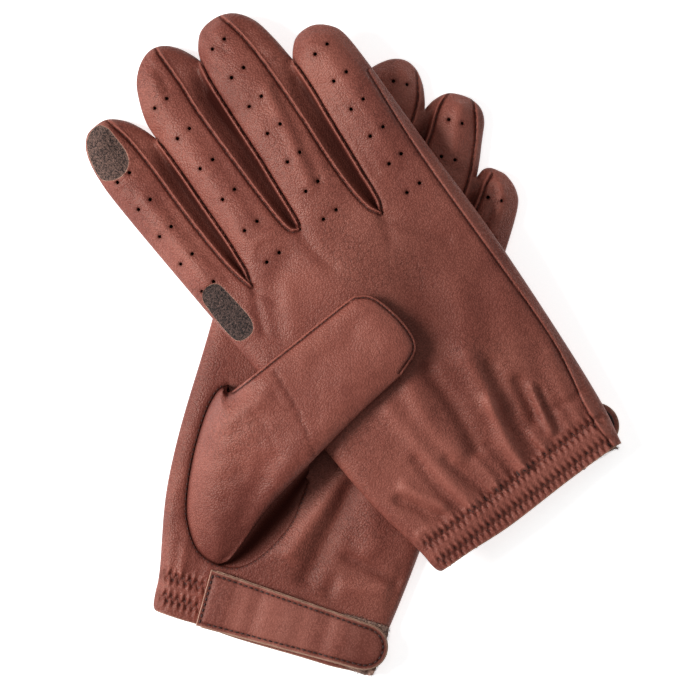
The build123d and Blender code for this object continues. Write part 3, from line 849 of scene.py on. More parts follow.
def stitch_mesh(name, stitches, radius, material):
    """Short round-ended threads, each from one point to another."""
    points, faces = [], []
    for start, end in stitches:
        start, end = np.array(start, float), np.array(end, float)
        along = end - start
        side = np.cross(along, (0, 0, 1.0))
        if np.linalg.norm(side) < 1e-9:
            side = np.array((1.0, 0, 0))
        side /= np.linalg.norm(side)
        lift = np.cross(side, along)
        lift /= np.linalg.norm(lift) + 1e-12
        first = len(points)
        for share, size in CAPSULE:
            points += ring_round(start + along * share, radius * MM * size, side, lift, CAPSULE_SIDES)
        last = first + (len(CAPSULE) - 1) * CAPSULE_SIDES
        for low in range(first, last, CAPSULE_SIDES):
            for k in range(CAPSULE_SIDES):
                a, b = low + k, low + (k + 1) % CAPSULE_SIDES
                faces.append((a, b, b + CAPSULE_SIDES, a + CAPSULE_SIDES))
        faces.append(tuple(first + k for k in range(CAPSULE_SIDES))[::-1])
        faces.append(tuple(last + k for k in range(CAPSULE_SIDES)))
    return new_mesh(name, points, faces, [material])


def sew(glove, name, stitches, radius, bend=None, thread=None):
    """One seam's thread as a piece."""
    piece = stitch_mesh(f"{glove.name}_{name}_thread", stitches, radius, thread or THREAD)
    attach(piece, glove, [f"{name}_thread"], bend)


def run_of_stitches(line, length, pitch):
    """Start and end of each stitch along a line in the pattern."""
    along = np.concatenate([[0], np.cumsum(np.linalg.norm(np.diff(line, axis=0), axis=1))])
    starts = np.arange(0.4, along[-1] - length, pitch)

    def at(s):
        return np.column_stack([np.interp(s, along, line[:, 0]), np.interp(s, along, line[:, 1])])

    return at(starts), at(starts + length)


def over(glove, height, start, end, lift):
    """Stitches on a face of this height, a little above it."""
    return list(zip(glove.world(start, height(start) + lift), glove.world(end, height(end) + lift)))


def surface_stitches(surface, line, length, pitch):
    """Stitches that lie on a panel, sunk a little into it."""
    lift = STITCH_SINK if surface.back else -STITCH_SINK
    return over(surface.glove, surface.height, *run_of_stitches(line, length, pitch), lift)


def fibres(roots, normals, length, radius, seed, lean):
    """Points and faces of short curved hairs."""
    rng = np.random.default_rng(seed)
    points, faces = [], []
    for root, normal in zip(roots, normals):
        heading = np.array(normal) + rng.normal(0, lean, 3)
        heading /= np.linalg.norm(heading)
        side = np.cross(heading, rng.normal(0, 1, 3))
        side /= np.linalg.norm(side) + 1e-9
        other = np.cross(heading, side)
        size = length * rng.uniform(0.5, 1.3) * MM
        sway = rng.normal(0, 0.3, 3) * size
        first = len(points)
        for share, width in ((0, 1), (0.6, 0.7)):
            centre = root + heading * size * share + sway * share**2
            points += ring_round(centre, radius * MM * width, side, other, TRIANGLE)
        points.append(root + heading * size + sway)
        for k in range(TRIANGLE):
            a, b = first + k, first + (k + 1) % TRIANGLE
            faces += [(a, b, b + 3, a + 3), (a + 3, b + 3, first + 6)]
        faces.append((first + 2, first + 1, first))
    return points, faces


# ---- materials ----

class Paint:
    """A material, and the nodes that feed its shader. A socket's value is a constant or a node's output."""

    def __init__(self, name):
        self.material = bpy.data.materials.new(name)
        self.material.use_nodes = True
        self.tree = self.material.node_tree
        self.shader = self.tree.nodes["Principled BSDF"]
        self.place = self.tree.nodes.new("ShaderNodeTexCoord").outputs["Object"]

    def feed(self, sockets, values):
        """Links a socket to a node's output, or sets its constant."""
        for key, value in values.items():
            if isinstance(value, bpy.types.NodeSocket):
                self.tree.links.new(value, sockets[key])
            else:
                sockets[key].default_value = value

    def node(self, kind, values, **settings):
        """A node with these values on its inputs."""
        made = self.tree.nodes.new(kind)
        for key, value in settings.items():
            setattr(made, key, value)
        self.feed(made.inputs, values)
        return made

    def surface(self, values):
        """Feeds the shader's own sockets, and gives the finished material."""
        self.feed(self.shader.inputs, values)
        return self.material

    def noise(self, scale, detail, stretch=None, distortion=0.0):
        place = self.place
        if stretch:
            place = self.node("ShaderNodeMapping", {"Vector": place, "Scale": stretch}).outputs["Vector"]
        values = {"Vector": place, "Scale": scale, "Detail": detail, "Distortion": distortion}
        return self.node("ShaderNodeTexNoise", values).outputs["Fac"]

    def cells(self, scale):
        return self.node("ShaderNodeTexVoronoi", {"Vector": self.place, "Scale": scale}).outputs["Distance"]

    def cracks(self, scale):
        """1 between fine creases and 0 in them; they come and go over the surface."""
        bend = self.node("ShaderNodeTexNoise", {"Vector": self.place, "Scale": scale * 0.8}).outputs["Color"]
        shift = self.node("ShaderNodeVectorMath", {0: bend, 1: (1.6 / scale,) * 3, 2: self.place},
                          operation="MULTIPLY_ADD").outputs["Vector"]
        edges = self.node("ShaderNodeTexVoronoi", {"Vector": shift, "Scale": scale},
                          feature="DISTANCE_TO_EDGE")
        net = self.ramp(edges.outputs["Distance"], (0.0, (0, 0, 0)), (0.09, (1, 1, 1)))
        where = self.ramp(self.noise(38, 2), (0.5, (1, 1, 1)), (0.66, (0.1, 0.1, 0.1)))
        return self.sums("MAXIMUM", net, where)

    def ramp(self, source, *stops):
        found = self.node("ShaderNodeValToRGB", {"Fac": source})
        elements = found.color_ramp.elements
        while len(elements) < len(stops):
            elements.new(0.5)
        for element, (position, colour) in zip(elements, stops):
            element.position = position
            element.color = (*colour, 1)
        return found.outputs["Color"]

    def mix(self, share, first, second, blend="MIX"):
        first, second = [c if isinstance(c, bpy.types.NodeSocket) else (*c, 1) for c in (first, second)]
        values = {0: share, 6: first, 7: second}
        return self.node("ShaderNodeMix", values, data_type="RGBA", blend_type=blend).outputs[2]

    def sums(self, operation, first, second, clamp=False):
        found = self.node("ShaderNodeMath", {0: first, 1: second}, operation=operation, use_clamp=clamp)
        return found.outputs[0]

    def attribute(self, key):
        return self.node("ShaderNodeAttribute", {}, attribute_name=key).outputs["Fac"]

    def bump(self, source, strength, height, under=None):
        """Normals of a relief this many millimetres high, on top of the relief under it."""
        values = {"Height": source, "Strength": strength, "Distance": height * MM}
        if under:
            values["Normal"] = under
        return self.node("ShaderNodeBump", values).outputs["Normal"]


# Texture scales, in features per metre, and the colour of undyed leather on a cut edge
BLOTCHES, CREASES, CRACKS, STREAKS = 26, 110, 300, 300
WRINKLES, PEBBLES, PORES = 900, 1350, 2600
CUT_EDGE_COLOUR = (0.5, 0.31, 0.22)


def grain_normal(paint, strength):
    """Pebble grain, soft creases and a fine net of cracks in places."""
    creases = paint.bump(paint.noise(CREASES, 4, distortion=1.0), 0.35 * strength, 0.6)
    wrinkles = paint.bump(paint.noise(WRINKLES, 2, (1, 1.6, 1), 0.6), 0.12 * strength, 0.2, creases)
    cracks = paint.bump(paint.cracks(CRACKS), 0.3 * strength, 0.16, wrinkles)
    pebbles = paint.bump(paint.sums("SUBTRACT", 1.0, paint.cells(PEBBLES)), 0.8 * strength, 0.24, cracks)
    return paint.bump(paint.noise(PORES, 2), 0.3 * strength, 0.06, pebbles)


def leather(name, dark, middle, light, strength=1.0):
    """Smooth dyed lambskin: mottled colour, painted shade in hollows and painted highlights on raised parts
    from the shade attribute, pale cut edges, and fine grain with painted highlights on its pebbles and painted
    shade in its fine creases.
    """
    paint = Paint(name)
    blotches = paint.ramp(paint.noise(BLOTCHES, 3), (0.36, dark), (0.52, middle), (0.7, light))
    streaks = paint.ramp(paint.noise(STREAKS, 5, distortion=0.6), (0.3, dark), (0.52, middle), (0.8, light))
    colour = paint.mix(0.35, blotches, streaks)
    # Painted highlight on the pebble tops and painted shade at their edges, following the grain's relief
    pebble_painted_light = paint.ramp(paint.cells(PEBBLES), (0.0, (1.2, 1.22, 1.22)), (0.62, (0.66, 0.58, 0.56)))
    colour = paint.mix(0.85, colour, pebble_painted_light, "MULTIPLY")
    # Painted shade in the fine creases
    lines = paint.ramp(paint.cracks(CRACKS), (0.0, (0.6, 0.55, 0.53)), (1.0, (1, 1, 1)))
    colour = paint.mix(0.7, colour, lines, "MULTIPLY")
    # Painted light and shade from the shade attribute: hollows darken towards near black, raised parts lighten
    shade = paint.attribute("shade")
    painted_shade = paint.sums("MULTIPLY", shade, -0.9, True)
    painted_light = paint.sums("MULTIPLY", shade, 0.75, True)
    colour = paint.mix(painted_shade, colour, tuple(0.2 * c for c in dark))
    colour = paint.mix(painted_light, colour, tuple(1.5 * c for c in light))
    # Reflections are weaker where painted shade darkens the colour
    flat = paint.sums("SUBTRACT", 1.0, painted_shade)
    return paint.surface({
        "Base Color": paint.mix(paint.attribute("cut"), colour, CUT_EDGE_COLOUR),
        "Roughness": paint.sums("ADD", paint.sums("MULTIPLY", paint.noise(90, 3), 0.25), 0.35),
        "Specular IOR Level": paint.sums("MULTIPLY", flat, 0.42, True),
        "Specular Tint": (1.0, 0.78, 0.68, 1),
        "Normal": grain_normal(paint, strength)})


def suede(name, dark, light):
    """The flesh side of the leather, inside the glove."""
    paint = Paint(name)
    return paint.surface({"Base Color": paint.ramp(paint.noise(700, 4), (0.3, dark), (0.7, light)),
                          "Roughness": 0.95, "Normal": paint.bump(paint.noise(2600, 3), 0.5, 0.2)})


def pile(name, dark, light, scale):
    """Short knit or brushed pile with dark flecks."""
    paint = Paint(name)
    flecks = paint.ramp(paint.noise(scale * 0.75, 2), (0.38, dark), (0.6, light))
    loops = paint.ramp(paint.cells(scale), (0.05, light), (0.5, dark))
    return paint.surface({"Base Color": paint.mix(0.5, flecks, loops), "Roughness": 0.92, "Sheen Weight": 0.1,
                          "Normal": paint.bump(paint.cells(scale), 0.8, 0.5)})


def twist(name, dark, light):
    """Waxed thread: fine twist marks and a slight colour change."""
    paint = Paint(name)
    return paint.surface({"Base Color": paint.ramp(paint.noise(900, 3), (0.35, dark), (0.65, light)),
                          "Roughness": 0.55,
                          "Normal": paint.bump(paint.noise(4200, 2, distortion=2.0), 0.5, 0.08)})


def woven(name, dark, light):
    """Woven tape: fine ribs along it."""
    paint = Paint(name)
    ribs = paint.noise(900, 2, stretch=(1, 6, 1))
    return paint.surface({"Base Color": paint.ramp(ribs, (0.35, dark), (0.65, light)), "Roughness": 0.85,
                          "Normal": paint.bump(ribs, 0.7, 0.3)})


GRAIN = leather("glove_leather", (0.20, 0.050, 0.037), (0.275, 0.078, 0.056), (0.34, 0.110, 0.079))
# A darker copy of the glove leather for the fourchettes: painted shade between the fingers
PAINTED_SHADE_GUSSET = leather("fourchette_leather", (0.16, 0.038, 0.028), (0.225, 0.060, 0.042), (0.29, 0.086, 0.060))
STRAP = leather("strap_leather", (0.20, 0.052, 0.039), (0.275, 0.083, 0.061), (0.335, 0.116, 0.086), 0.7)
FLESH = suede("leather_flesh_side", (0.05, 0.024, 0.017), (0.11, 0.058, 0.04))
THREAD = twist("thread", (0.028, 0.009, 0.007), (0.065, 0.022, 0.017))
ZIGZAG_THREAD = twist("zigzag_thread", (0.15, 0.046, 0.034), (0.27, 0.09, 0.066))
KNIT = pile("knit", (0.022, 0.011, 0.009), (0.25, 0.14, 0.108), 1500)
DARK_KNIT = pile("knuckle_knit", (0.012, 0.007, 0.006), (0.155, 0.088, 0.072), 1500)
LOOPS = pile("loop_tape", (0.15, 0.082, 0.062), (0.52, 0.32, 0.245), 1100)
HOOKS = pile("hook_tape", (0.015, 0.009, 0.008), (0.07, 0.045, 0.038), 1900)
ELASTIC = woven("elastic", (0.03, 0.013, 0.011), (0.1, 0.045, 0.036))


# ---- the trank, fourchettes and patches ----

def hand_shell(glove, surfaces):
    """Both panels of a glove, joined at the rim and open at the wrist, split into its pieces."""
    points, faces, groups, shades, cuts = [], [], [], [], []
    count = 0
    for surface in surfaces:
        uv, h, tris, group, shade, cut = panel(surface, UPPER_MESH if surface.up else HIDDEN_MESH)
        flip = surface.back == glove.palm_up
        points.append(glove.world(uv, h))
        faces.append((tris[:, ::-1] if flip else tris) + count)
        groups.append(group)
        shades.append(shade)
        cuts.append(cut)
        count += len(uv)
    points, faces, groups = np.vstack(points), np.vstack(faces), np.concatenate(groups)
    attributes = {"shade": np.concatenate(shades), "cut": np.concatenate(cuts)}
    names = ["trank", *[f"fourchette_{gap}" for gap in GAPS], *[f"{patch}_patch" for patch in PATCHES]]
    for number, name in enumerate(names):
        part = welded(*trimmed(points, faces[groups == number], attributes))
        nodes, slot, skin = [name], "fourchette_leather", PAINTED_SHADE_GUSSET
        if name == "trank":
            nodes = ["trank_back", "trank_palm", "trank_fold", "trank_side"]
            slot, skin = "glove_leather", GRAIN
        if name.endswith("patch"):
            slot = "knit"
            knit = DARK_KNIT if name == "knuckle_patch" else KNIT
            piece = knit_patch(f"{glove.name}_{name}", *part[:2], knit)
        else:
            piece = new_mesh(f"{glove.name}_{name}", part[0], part[1], [skin, FLESH], part[2])
            thicken(piece, WALL)
        attach(piece, glove, nodes)


def knit_patch(name, points, faces, knit):
    """Knit face with a short pile standing on it, and its own thickness."""
    rng = np.random.default_rng(len(points))
    corners = points[faces]
    normals = np.cross(corners[:, 1] - corners[:, 0], corners[:, 2] - corners[:, 0])
    area = np.linalg.norm(normals, axis=1)
    chosen = rng.choice(len(faces), PATCH_HAIRS, p=area / area.sum())
    share = rng.dirichlet((1, 1, 1), PATCH_HAIRS)
    roots = (corners[chosen] * share[..., None]).sum(1)
    normals = normals[chosen] / area[chosen, None]
    roots = roots - normals * 0.1 * MM
    hair_points, hair_faces = fibres(roots, normals, *PATCH_HAIR_SIZE, len(points), 0.9)
    hair_points = np.array(hair_points)
    hair_points[:, 2] = np.maximum(hair_points[:, 2], 0.05 * MM)
    under = points - np.array((0, 0, KNIT_THICKNESS * MM)) * np.sign(normals[:, 2].mean())
    base = len(points)
    every = [tuple(f) for f in faces] + [tuple(f[::-1] + base) for f in faces]
    edges = {}
    for f in faces:
        for a, b in ((f[0], f[1]), (f[1], f[2]), (f[2], f[0])):
            edges[(a, b)] = True
    every += [(b, a, a + base, b + base) for a, b in edges if (b, a) not in edges]
    every += [tuple(i + 2 * base for i in f) for f in hair_faces]
    return new_mesh(name, np.vstack([points, under, hair_points]), every, [knit])


def glove_threads(glove, back, palm):
    """Seam threads of the fingers, the side and the thumb, and the zigzag rows."""
    stitches = []
    for surface in (back, palm):
        for sides in glove.gaps[surface.back].values():
            for line, offset in zip(sides, (SEAM_OFFSET, -SEAM_OFFSET)):
                stitches += surface_stitches(surface, side_rows(line[2:-3], (offset,))[0], *FINGER_RUN)
    sew(glove, "finger_seam", stitches, SEAM_THREAD)
    line = side_rows(glove.side_seam[14:-4], (SEAM_OFFSET,))[0]
    sew(glove, "side_seam", surface_stitches(back, line, *SEAM_RUN), SEAM_THREAD)
    line = side_rows(glove.thumb_seam[2:-2], (-THUMB_SEAM_OFFSET,))[0]
    sew(glove, "thumb_seam", surface_stitches(palm, line, *SEAM_RUN), SEAM_THREAD)

    stitches = []
    for surface, right in ((back, ELASTIC_RIGHT + 3.6), (palm, ELASTIC_PALM_END)):
        lift = -ZIGZAG_SINK if surface.back else ZIGZAG_SINK
        for row in range(len(ZIGZAG_ROWS)):
            u = np.arange(ELASTIC_LEFT + ZIGZAG_MARGIN, right - 0.5, ZIGZAG_PITCH / 2)
            knots = np.column_stack([u, row_height(row, u) + zigzag_swing(u)])
            middles = (knots[1:] + knots[:-1]) / 2
            spots = glove.world(knots, surface.height(knots) - lift)
            halfway = glove.world(middles, surface.height(middles) + lift)
            for start, middle, end in zip(spots, halfway, spots[1:]):
                stitches += [(start, middle), (middle, end)]
    sew(glove, "elastic", stitches, ZIGZAG_RADIUS, thread=ZIGZAG_THREAD)


def wrist_elastic(glove, back, palm):
    """Tape inside the wrist: across the back, round the fold and to the strap's sewn end."""
    inset = LEATHER + 0.25
    across = np.arange(ELASTIC_RIGHT - 1, ELASTIC_LEFT + 2.5, -ELASTIC_STEP)
    over_fold = np.arange(across[-1], ELASTIC_PALM_END, ELASTIC_STEP)
    mouth = glove.mouth[::-1]

    def row_at(u, share):
        low = np.interp(u, mouth[:, 0], mouth[:, 1]) + 0.5
        return np.column_stack([u, low + (ELASTIC_HIGH - 1 - low) * share])

    columns = []
    for share in np.linspace(0, 1, ELASTIC_ROWS):
        uv, uv_over = row_at(across, share), row_at(over_fold, share)
        fold = row_at(across[-1] - np.array((0.9, 1.2, 0.9)), share)
        fold_heights = (MIDDLE - 1.2, MIDDLE, MIDDLE + 1.2)
        heights = [back.height(uv) + inset, fold_heights, palm.height(uv_over) - inset]
        columns.append(glove.world(np.vstack([uv, fold, uv_over]), np.concatenate(heights)))
    count = len(columns[0])
    faces = [(a, a + 1, a + 1 + count, a + count)
             for row in range(len(columns) - 1) for a in range(row * count, row * count + count - 1)]
    if glove.palm_up:
        faces = [f[::-1] for f in faces]
    piece = new_mesh(f"{glove.name}_wrist_elastic", np.vstack(columns), faces, [ELASTIC, ELASTIC])
    thicken(piece, ELASTIC_WALL)
    attach(piece, glove, ["wrist_elastic"])


# ---- strap ----

STRAP_RUN = (1.55, 2.4)
STRAP_END_RUN = (1.5, 2.4)
# Creases across the strap: place along it, width, height
STRAP_CREASES = [(-21, 0.7, -0.22), (-18.4, 0.8, -0.18), (-15.2, 0.9, -0.2), (-11, 1.2, -0.12),
                 (-4, 1.6, -0.12), (9, 2, -0.1), (27, 2, -0.1)]


def run_between(a, b, spacing):
    """Points from a towards b, without b."""
    steps = max(2, int(np.linalg.norm(np.subtract(b, a)) / spacing))
    return np.array(a) + np.subtract(b, a) * np.linspace(0, 1, steps, endpoint=False)[:, None]


def strap_loop(glove, inset, start_gap=0.0):
    """Outline of the strap: straight sides that narrow to a round free end."""
    (u0, v0), (u1, v1) = glove.strap_start, glove.strap_end
    half, radius = glove.strap_half - inset, STRAP_HALF_END - inset
    axis = math.atan2(v1 - v0, u1 - u0)
    lean = math.asin((half - radius) / math.hypot(u1 - u0, v1 - v0))
    angles = np.linspace(axis - math.pi / 2 + lean, axis + math.pi / 2 - lean, 30)
    end = np.column_stack([u1 + radius * np.cos(angles), v1 + radius * np.sin(angles)])
    start_u = u0 + inset - start_gap
    bottom, top = (start_u, v0 - half), (start_u, v0 + half)
    return np.vstack([run_between(bottom, end[0], 1.0), end[:-1], run_between(end[-1], top, 1.0),
                      run_between(top, bottom, 1.0)])


def strap_wave(uv):
    """How the strap undulates along its length, away from its sewn end."""
    u = uv[:, 0]
    free = soft_step((u - STRAP_START[0]) / 12)
    return free * (0.25 * np.sin(u * 0.21) + 0.14 * np.sin(u * 0.63 + 1))


def wavy(height):
    """A face of the strap at this height, which undulates with the strap."""
    return lambda uv: height + strap_wave(uv)


def strap(glove, palm):
    """The strap's leather, lining, hook tape and thread."""
    sewn_length = STRAP_ANCHOR + BODY_GAP
    hook_low = THICKNESS + LOOP_TAPE + BODY_GAP
    lining_low = hook_low + HOOK_TAPE
    outer_low = lining_low + LINING
    loop = strap_loop(glove, 0, sewn_length)
    stitch = strap_loop(glove, STRAP_STITCH, sewn_length)
    stitch_line = closed(stitch)
    hinge = STRAP_START[0]
    bend = strap_bend(glove)

    def crowned(uv):
        away = distance(uv, closed(loop))
        creases = sum(height * bell(uv[:, 0] - u - 0.08 * (uv[:, 1] - 8), width)
                      for u, width, height in STRAP_CREASES)
        puff = 0.35 * soft_step((away - STRAP_STITCH) / 3) - 0.3 * bell(distance(uv, stitch_line), 0.45)
        column = 0.3 * bell(uv[:, 0] - hinge + BODY_GAP + STRAP_ANCHOR / 2, 0.5)
        return outer_low + LEATHER + puff - column + creases * soft_step(away / 2) + strap_wave(uv)

    # Painted shade in the stitch dimples and by the sewn end, a lighter middle, a darker free end and faint
    # bands across
    def painted_light_and_tone(uv):
        u = uv[:, 0]
        shade = 0.3 * bell(u - 2, 20) - 0.35 * soft_step((u - 30) / 16) - 0.1 * bell(u + 20, 6)
        return shade - 0.75 * bell(distance(uv, stitch_line), 0.55) + 0.1 * np.sin(0.45 * u + 0.5)

    def layer(name, outline, low, high, material, slot, *settings):
        piece = slab(glove, name, outline, wavy(low), high, material, *settings)
        attach(piece, glove, [name], bend)

    rows = side_rows(stitch_line, (-0.9, -0.5, -0.2, 0.2, 0.5, 0.9))
    layer("strap_outer", loop, outer_low, crowned, STRAP, "strap_leather", 1.2, 0.2, rows, painted_light_and_tone)
    lining = strap_loop(glove, -LINING_OVERHANG)
    layer("strap_lining", lining, lining_low, wavy(outer_low - LAYER_GAP), STRAP, "strap_leather", 2.0, 0.12)

    start, end = run_of_stitches(stitch_line[:-int(2 * glove.strap_half - 4)], *STRAP_RUN)
    keep = start[:, 0] > hinge + 1
    sew(glove, "strap", over(glove, crowned, start[keep], end[keep], 0.1), STRAP_THREAD, bend)

    hook = strap_loop(glove, STRAP_STITCH)
    hook = hook[hook[:, 0] > STRAP_END[0] + STRAP_HALF_END - HOOK_LENGTH]
    hook = hook[np.argsort(np.arctan2(hook[:, 1] - glove.strap_end[1], hook[:, 0] - STRAP_END[0] + 3))]
    layer("strap_hook_tape", hook, hook_low, wavy(lining_low - LAYER_GAP), HOOKS, "hook_tape", 1.5, 0.15)

    loop_tape(glove, palm)
    sewn_end(glove, outer_low, crowned)


def strap_bend(glove):
    """The strap's body, and the stretch beside the sewn end where it bends."""
    u, v = STRAP_START
    ends = glove.world(np.array([(u - 0.5, v), (u + 5, v)]), THICKNESS + 3.0)
    return "strap", tuple(ends[0]), tuple(ends[1])


def loop_tape(glove, palm):
    """Brushed loop tape on the palm: its fuzzy edges show round the strap's end."""
    loop = closed_curve(LOOP_OUTLINE, 1.0)
    if not glove.palm_up:
        loop[:, 0] = np.minimum(loop[:, 0], LOOP_CENTRE[0] + 4)
    piece = slab(glove, "strap_loop_tape", loop, lambda uv: palm.height(uv) - 0.1,
                 lambda uv: palm.height(uv) + LOOP_TAPE, LOOPS, 1.5, 0.15)
    rng = np.random.default_rng(glove.seed)
    chosen = rng.integers(0, len(loop), TAPE_HAIRS)
    uv = loop[chosen] + rng.normal(0, 0.3, (TAPE_HAIRS, 2))
    spots = glove.world(uv, palm.height(uv) + rng.uniform(0.1, LOOP_TAPE, TAPE_HAIRS))
    out = np.array([glove.u_axis * a + glove.v_axis * b for a, b in loop[chosen] - LOOP_CENTRE])
    out = np.column_stack([out, np.full(TAPE_HAIRS, 6.0 if glove.palm_up else -6.0)])
    out /= np.linalg.norm(out, axis=1)[:, None]
    hairs = fibres(spots, out, *TAPE_HAIR_SIZE, glove.seed, 0.6)
    hair = new_mesh(f"{glove.name}_strap_loop_tape_pile", *hairs, [LOOPS])
    with bpy.context.temp_override(active_object=piece, selected_editable_objects=[piece, hair]):
        bpy.ops.object.join()
    attach(piece, glove, ["strap_loop_tape"])


def sewn_end(glove, top, crowned):
    """The folded end under the strap's leather, sewn down beside the elastic with a column of stitches."""
    u0 = STRAP_START[0] - BODY_GAP
    u1 = u0 - STRAP_ANCHOR
    v0, half = glove.strap_start[1], glove.strap_half
    corners = [(u1, v0 + half), (u1, v0 - half), (u0, v0 - half), (u0, v0 + half)]
    loop = np.vstack([run_between(a, b, 0.8) for a, b in zip(corners, corners[1:] + corners[:1])])
    piece = slab(glove, "strap_sewn_end", loop, lambda uv: THICKNESS - 0.3, lambda uv: top - 0.05,
                 STRAP, 0.7, 0.2)
    attach(piece, glove, ["strap_sewn_end"])
    middle = (u0 + u1) / 2
    line = np.array([(middle, v0 - half + 1), (middle, v0 + half - 1)])
    sew(glove, "strap_end", over(glove, crowned, *run_of_stitches(line, *STRAP_END_RUN), 0.1), STRAP_END_THREAD)


# ---- thumbs ----

THUMB_SEAM_INSET = 1.1
THUMB_TIP_RUN = (1.2, 2.1)
THUMB_CREASE = [(-23, 108), (-12, 97), (-2, 85), (4, 76)]
CREASE_DEPTH, TIP_SEAM_DEPTH = 0.55, 0.7
# Spacing of the thumbs' meshes, rows and columns of the skirt's, and where the thumb's edge leaves the palm
RAISED_MESH, FLAT_MESH = 1.4, 1.9
SKIRT_MESH = (14, 60)
CLIMB_START = -56
THUMB_FOLDS = [
    ([(-21, 28), (-19, 48), (-15, 70)], 4.5, -1.3), ([(-38, 44), (-36, 62), (-30, 78)], 7.0, 0.8),
    ([(-12, 60), (-4, 76), (4, 90)], 5.0, 0.6), ([(-28, 90), (-20, 84), (-12, 74)], 1.0, -0.35),
    ([(-37, 80), (-32, 88), (-26, 94)], 3.0, 0.6), ([(4, 112), (12, 120), (18, 130)], 6.0, 0.6),
    ([(-36, 91), (-28, 100)], 1.2, -0.5), ([(-22, 100), (-14, 94), (-6, 96)], 0.8, -0.25),
    ([(-6, 118), (2, 126), (4, 136)], 4.0, -0.5),
]
# Painted shade on the heel: centre, width, amount
THUMB_PAINTED_SHADE = [((-20, 34), 16, -0.34), ((-30, 56), 12, -0.15)]


def past_bend(uv):
    """Distance past the line where the thumb bends, towards its tip."""
    return (uv - THUMB_BEND) @ THUMB_AXIS


def climb_of_right_side(s):
    """Height of the thumb's free edge, this far past its bend."""
    return THICKNESS + (RAISED_MIDDLE - THICKNESS) * np.clip(1 - s / CLIMB_START, 0, 1)**0.85


class RaisedThumb:
    """The lower glove's thumb: it climbs off the palm and lies across the upper glove."""

    def __init__(self, glove, palm):
        self.glove = glove
        self.palm = palm
        seam = curve(THUMB_SEAM, 1.0)
        last = np.argmin(np.linalg.norm(seam - THUMB_SEAM_FOOT, axis=1))
        self.seam_left = seam[:last + 1]
        self.seam_right = seam[last:]
        self.left = curve([THUMB_SEAM[0], *THUMB_LEFT], 1.0)
        self.right = curve(THUMB_RIGHT, 1.0)
        self.loop = np.vstack([self.left[:-1], self.right[:-1], self.seam_left[::-1][:-1]])[::-1]
        self.edge_height = self.heights_of_edge()

    def heights_of_edge(self):
        """Height of the edge: low on the palm's seam, rising along the free side and past the crease."""
        s = past_bend(self.loop)
        climb = THICKNESS + (RAISED_MIDDLE - THICKNESS) * soft_step((s + 15) / 17)
        edge = np.where(distance(self.loop, self.right) < 0.01, climb_of_right_side(s), climb)
        return np.where(distance(self.loop, self.seam_left) < 0.01, THICKNESS - 0.3, edge)

    def edge_field(self, uv):
        """Height of the thumb's edge, carried inwards from all round it."""
        total, weight = np.zeros(len(uv)), np.zeros(len(uv))
        for point, height in zip(self.loop[::2], self.edge_height[::2]):
            near = 1 / (((uv - point)**2).sum(1) + 0.05)**2
            total += near * height
            weight += near
        return total / weight

    def top(self, uv):
        """Height of the upper face, and its painted light and shade."""
        s = past_bend(uv)
        foot, low = THUMB_FOOT
        shifts = np.linspace(-9, 9, 7)
        ramp = np.mean([np.interp(s + k, (foot, THUMB_RAMP_END), (low, RAISED_TOP)) for k in shifts], axis=0)
        ramp = np.minimum(ramp + 1.2 * bell(s + 40, 16), RAISED_TOP + 0.3)
        edge = self.edge_field(uv)
        away = distance(uv, closed(self.loop))
        radius = np.interp(s, (-60, -30, 0, 60), (16, 15, 11, 10))
        height = edge + np.maximum(ramp - edge, 0.5) * dome(away / radius)
        crease = distance(uv, curve(THUMB_CREASE, 1.5))
        seam = distance(uv, side_rows(self.left, (-THUMB_SEAM_INSET,))[0])
        folds = -CREASE_DEPTH * bell(crease, 0.6) + 0.3 * waves(uv, 26, 21) + 0.15 * waves(uv, 11, 22)
        for line, width, size in THUMB_FOLDS:
            folds += size * bell(distance(uv, curve(line, 2)), width)
        folds -= TIP_SEAM_DEPTH * bell(seam, 0.5)
        return height + folds * soft_step(away / 1.2), self.painted_light_and_tone(uv, s, crease, seam)

    def painted_light_and_tone(self, uv, s, crease, seam):
        """Pale outer edge; painted light growing towards the tip; painted shade in the seam, the crease, on the
        heel, along the free side near the heel and along the palm's seam.
        """
        outside = distance(uv, side_rows(self.left, (-0.35,))[0])
        # Painted light growing towards the tip, painted shade in the crease
        shade = 0.04 + 0.13 * soft_step((s + 20) / 40) - 0.5 * bell(crease, 0.5)
        shade += 0.45 * bell(outside, 0.4) - 1.2 * bell(seam, 0.5)
        # Painted shade on the heel, along its valley, along the free side and along the palm's seam
        shade += spots_of_painted_light(uv, THUMB_PAINTED_SHADE)
        shade -= 0.15 * bell(distance(uv, curve([(-24, 40), (-14, 62), (0, 84)], 3)), 6)
        shade -= 0.3 * soft_step((6 - distance(uv, self.right)) / 6) * soft_step((-5 - s) / 20)
        return shade - 0.8 * bell(distance(uv, self.seam_left), 0.8)

    def bottom(self, uv):
        """Height of the lower face."""
        s = past_bend(uv)
        low = THICKNESS + 0.25
        floor = low + (RAISED_UNDER - low) * soft_step((s + 17) / 19)
        edge = self.edge_field(uv)
        radius = np.interp(s, (-20, 0, 60), (3.0, 6.0, 8.0))
        return edge - np.maximum(edge - floor, 0) * dome(distance(uv, closed(self.loop)) / radius)


def thumb_piece(glove, points, faces, shade, bend=None):
    """The thumb's leather as one piece, for its three CAD nodes."""
    attributes = {"shade": shade, "cut": np.zeros(len(points))}
    part = welded(points, faces, attributes)
    piece = new_mesh(f"{glove.name}_thumb", part[0], part[1], [GRAIN, FLESH], part[2])
    attach(piece, glove, ["thumb_root", "thumb_inner", "thumb_outer"], bend)


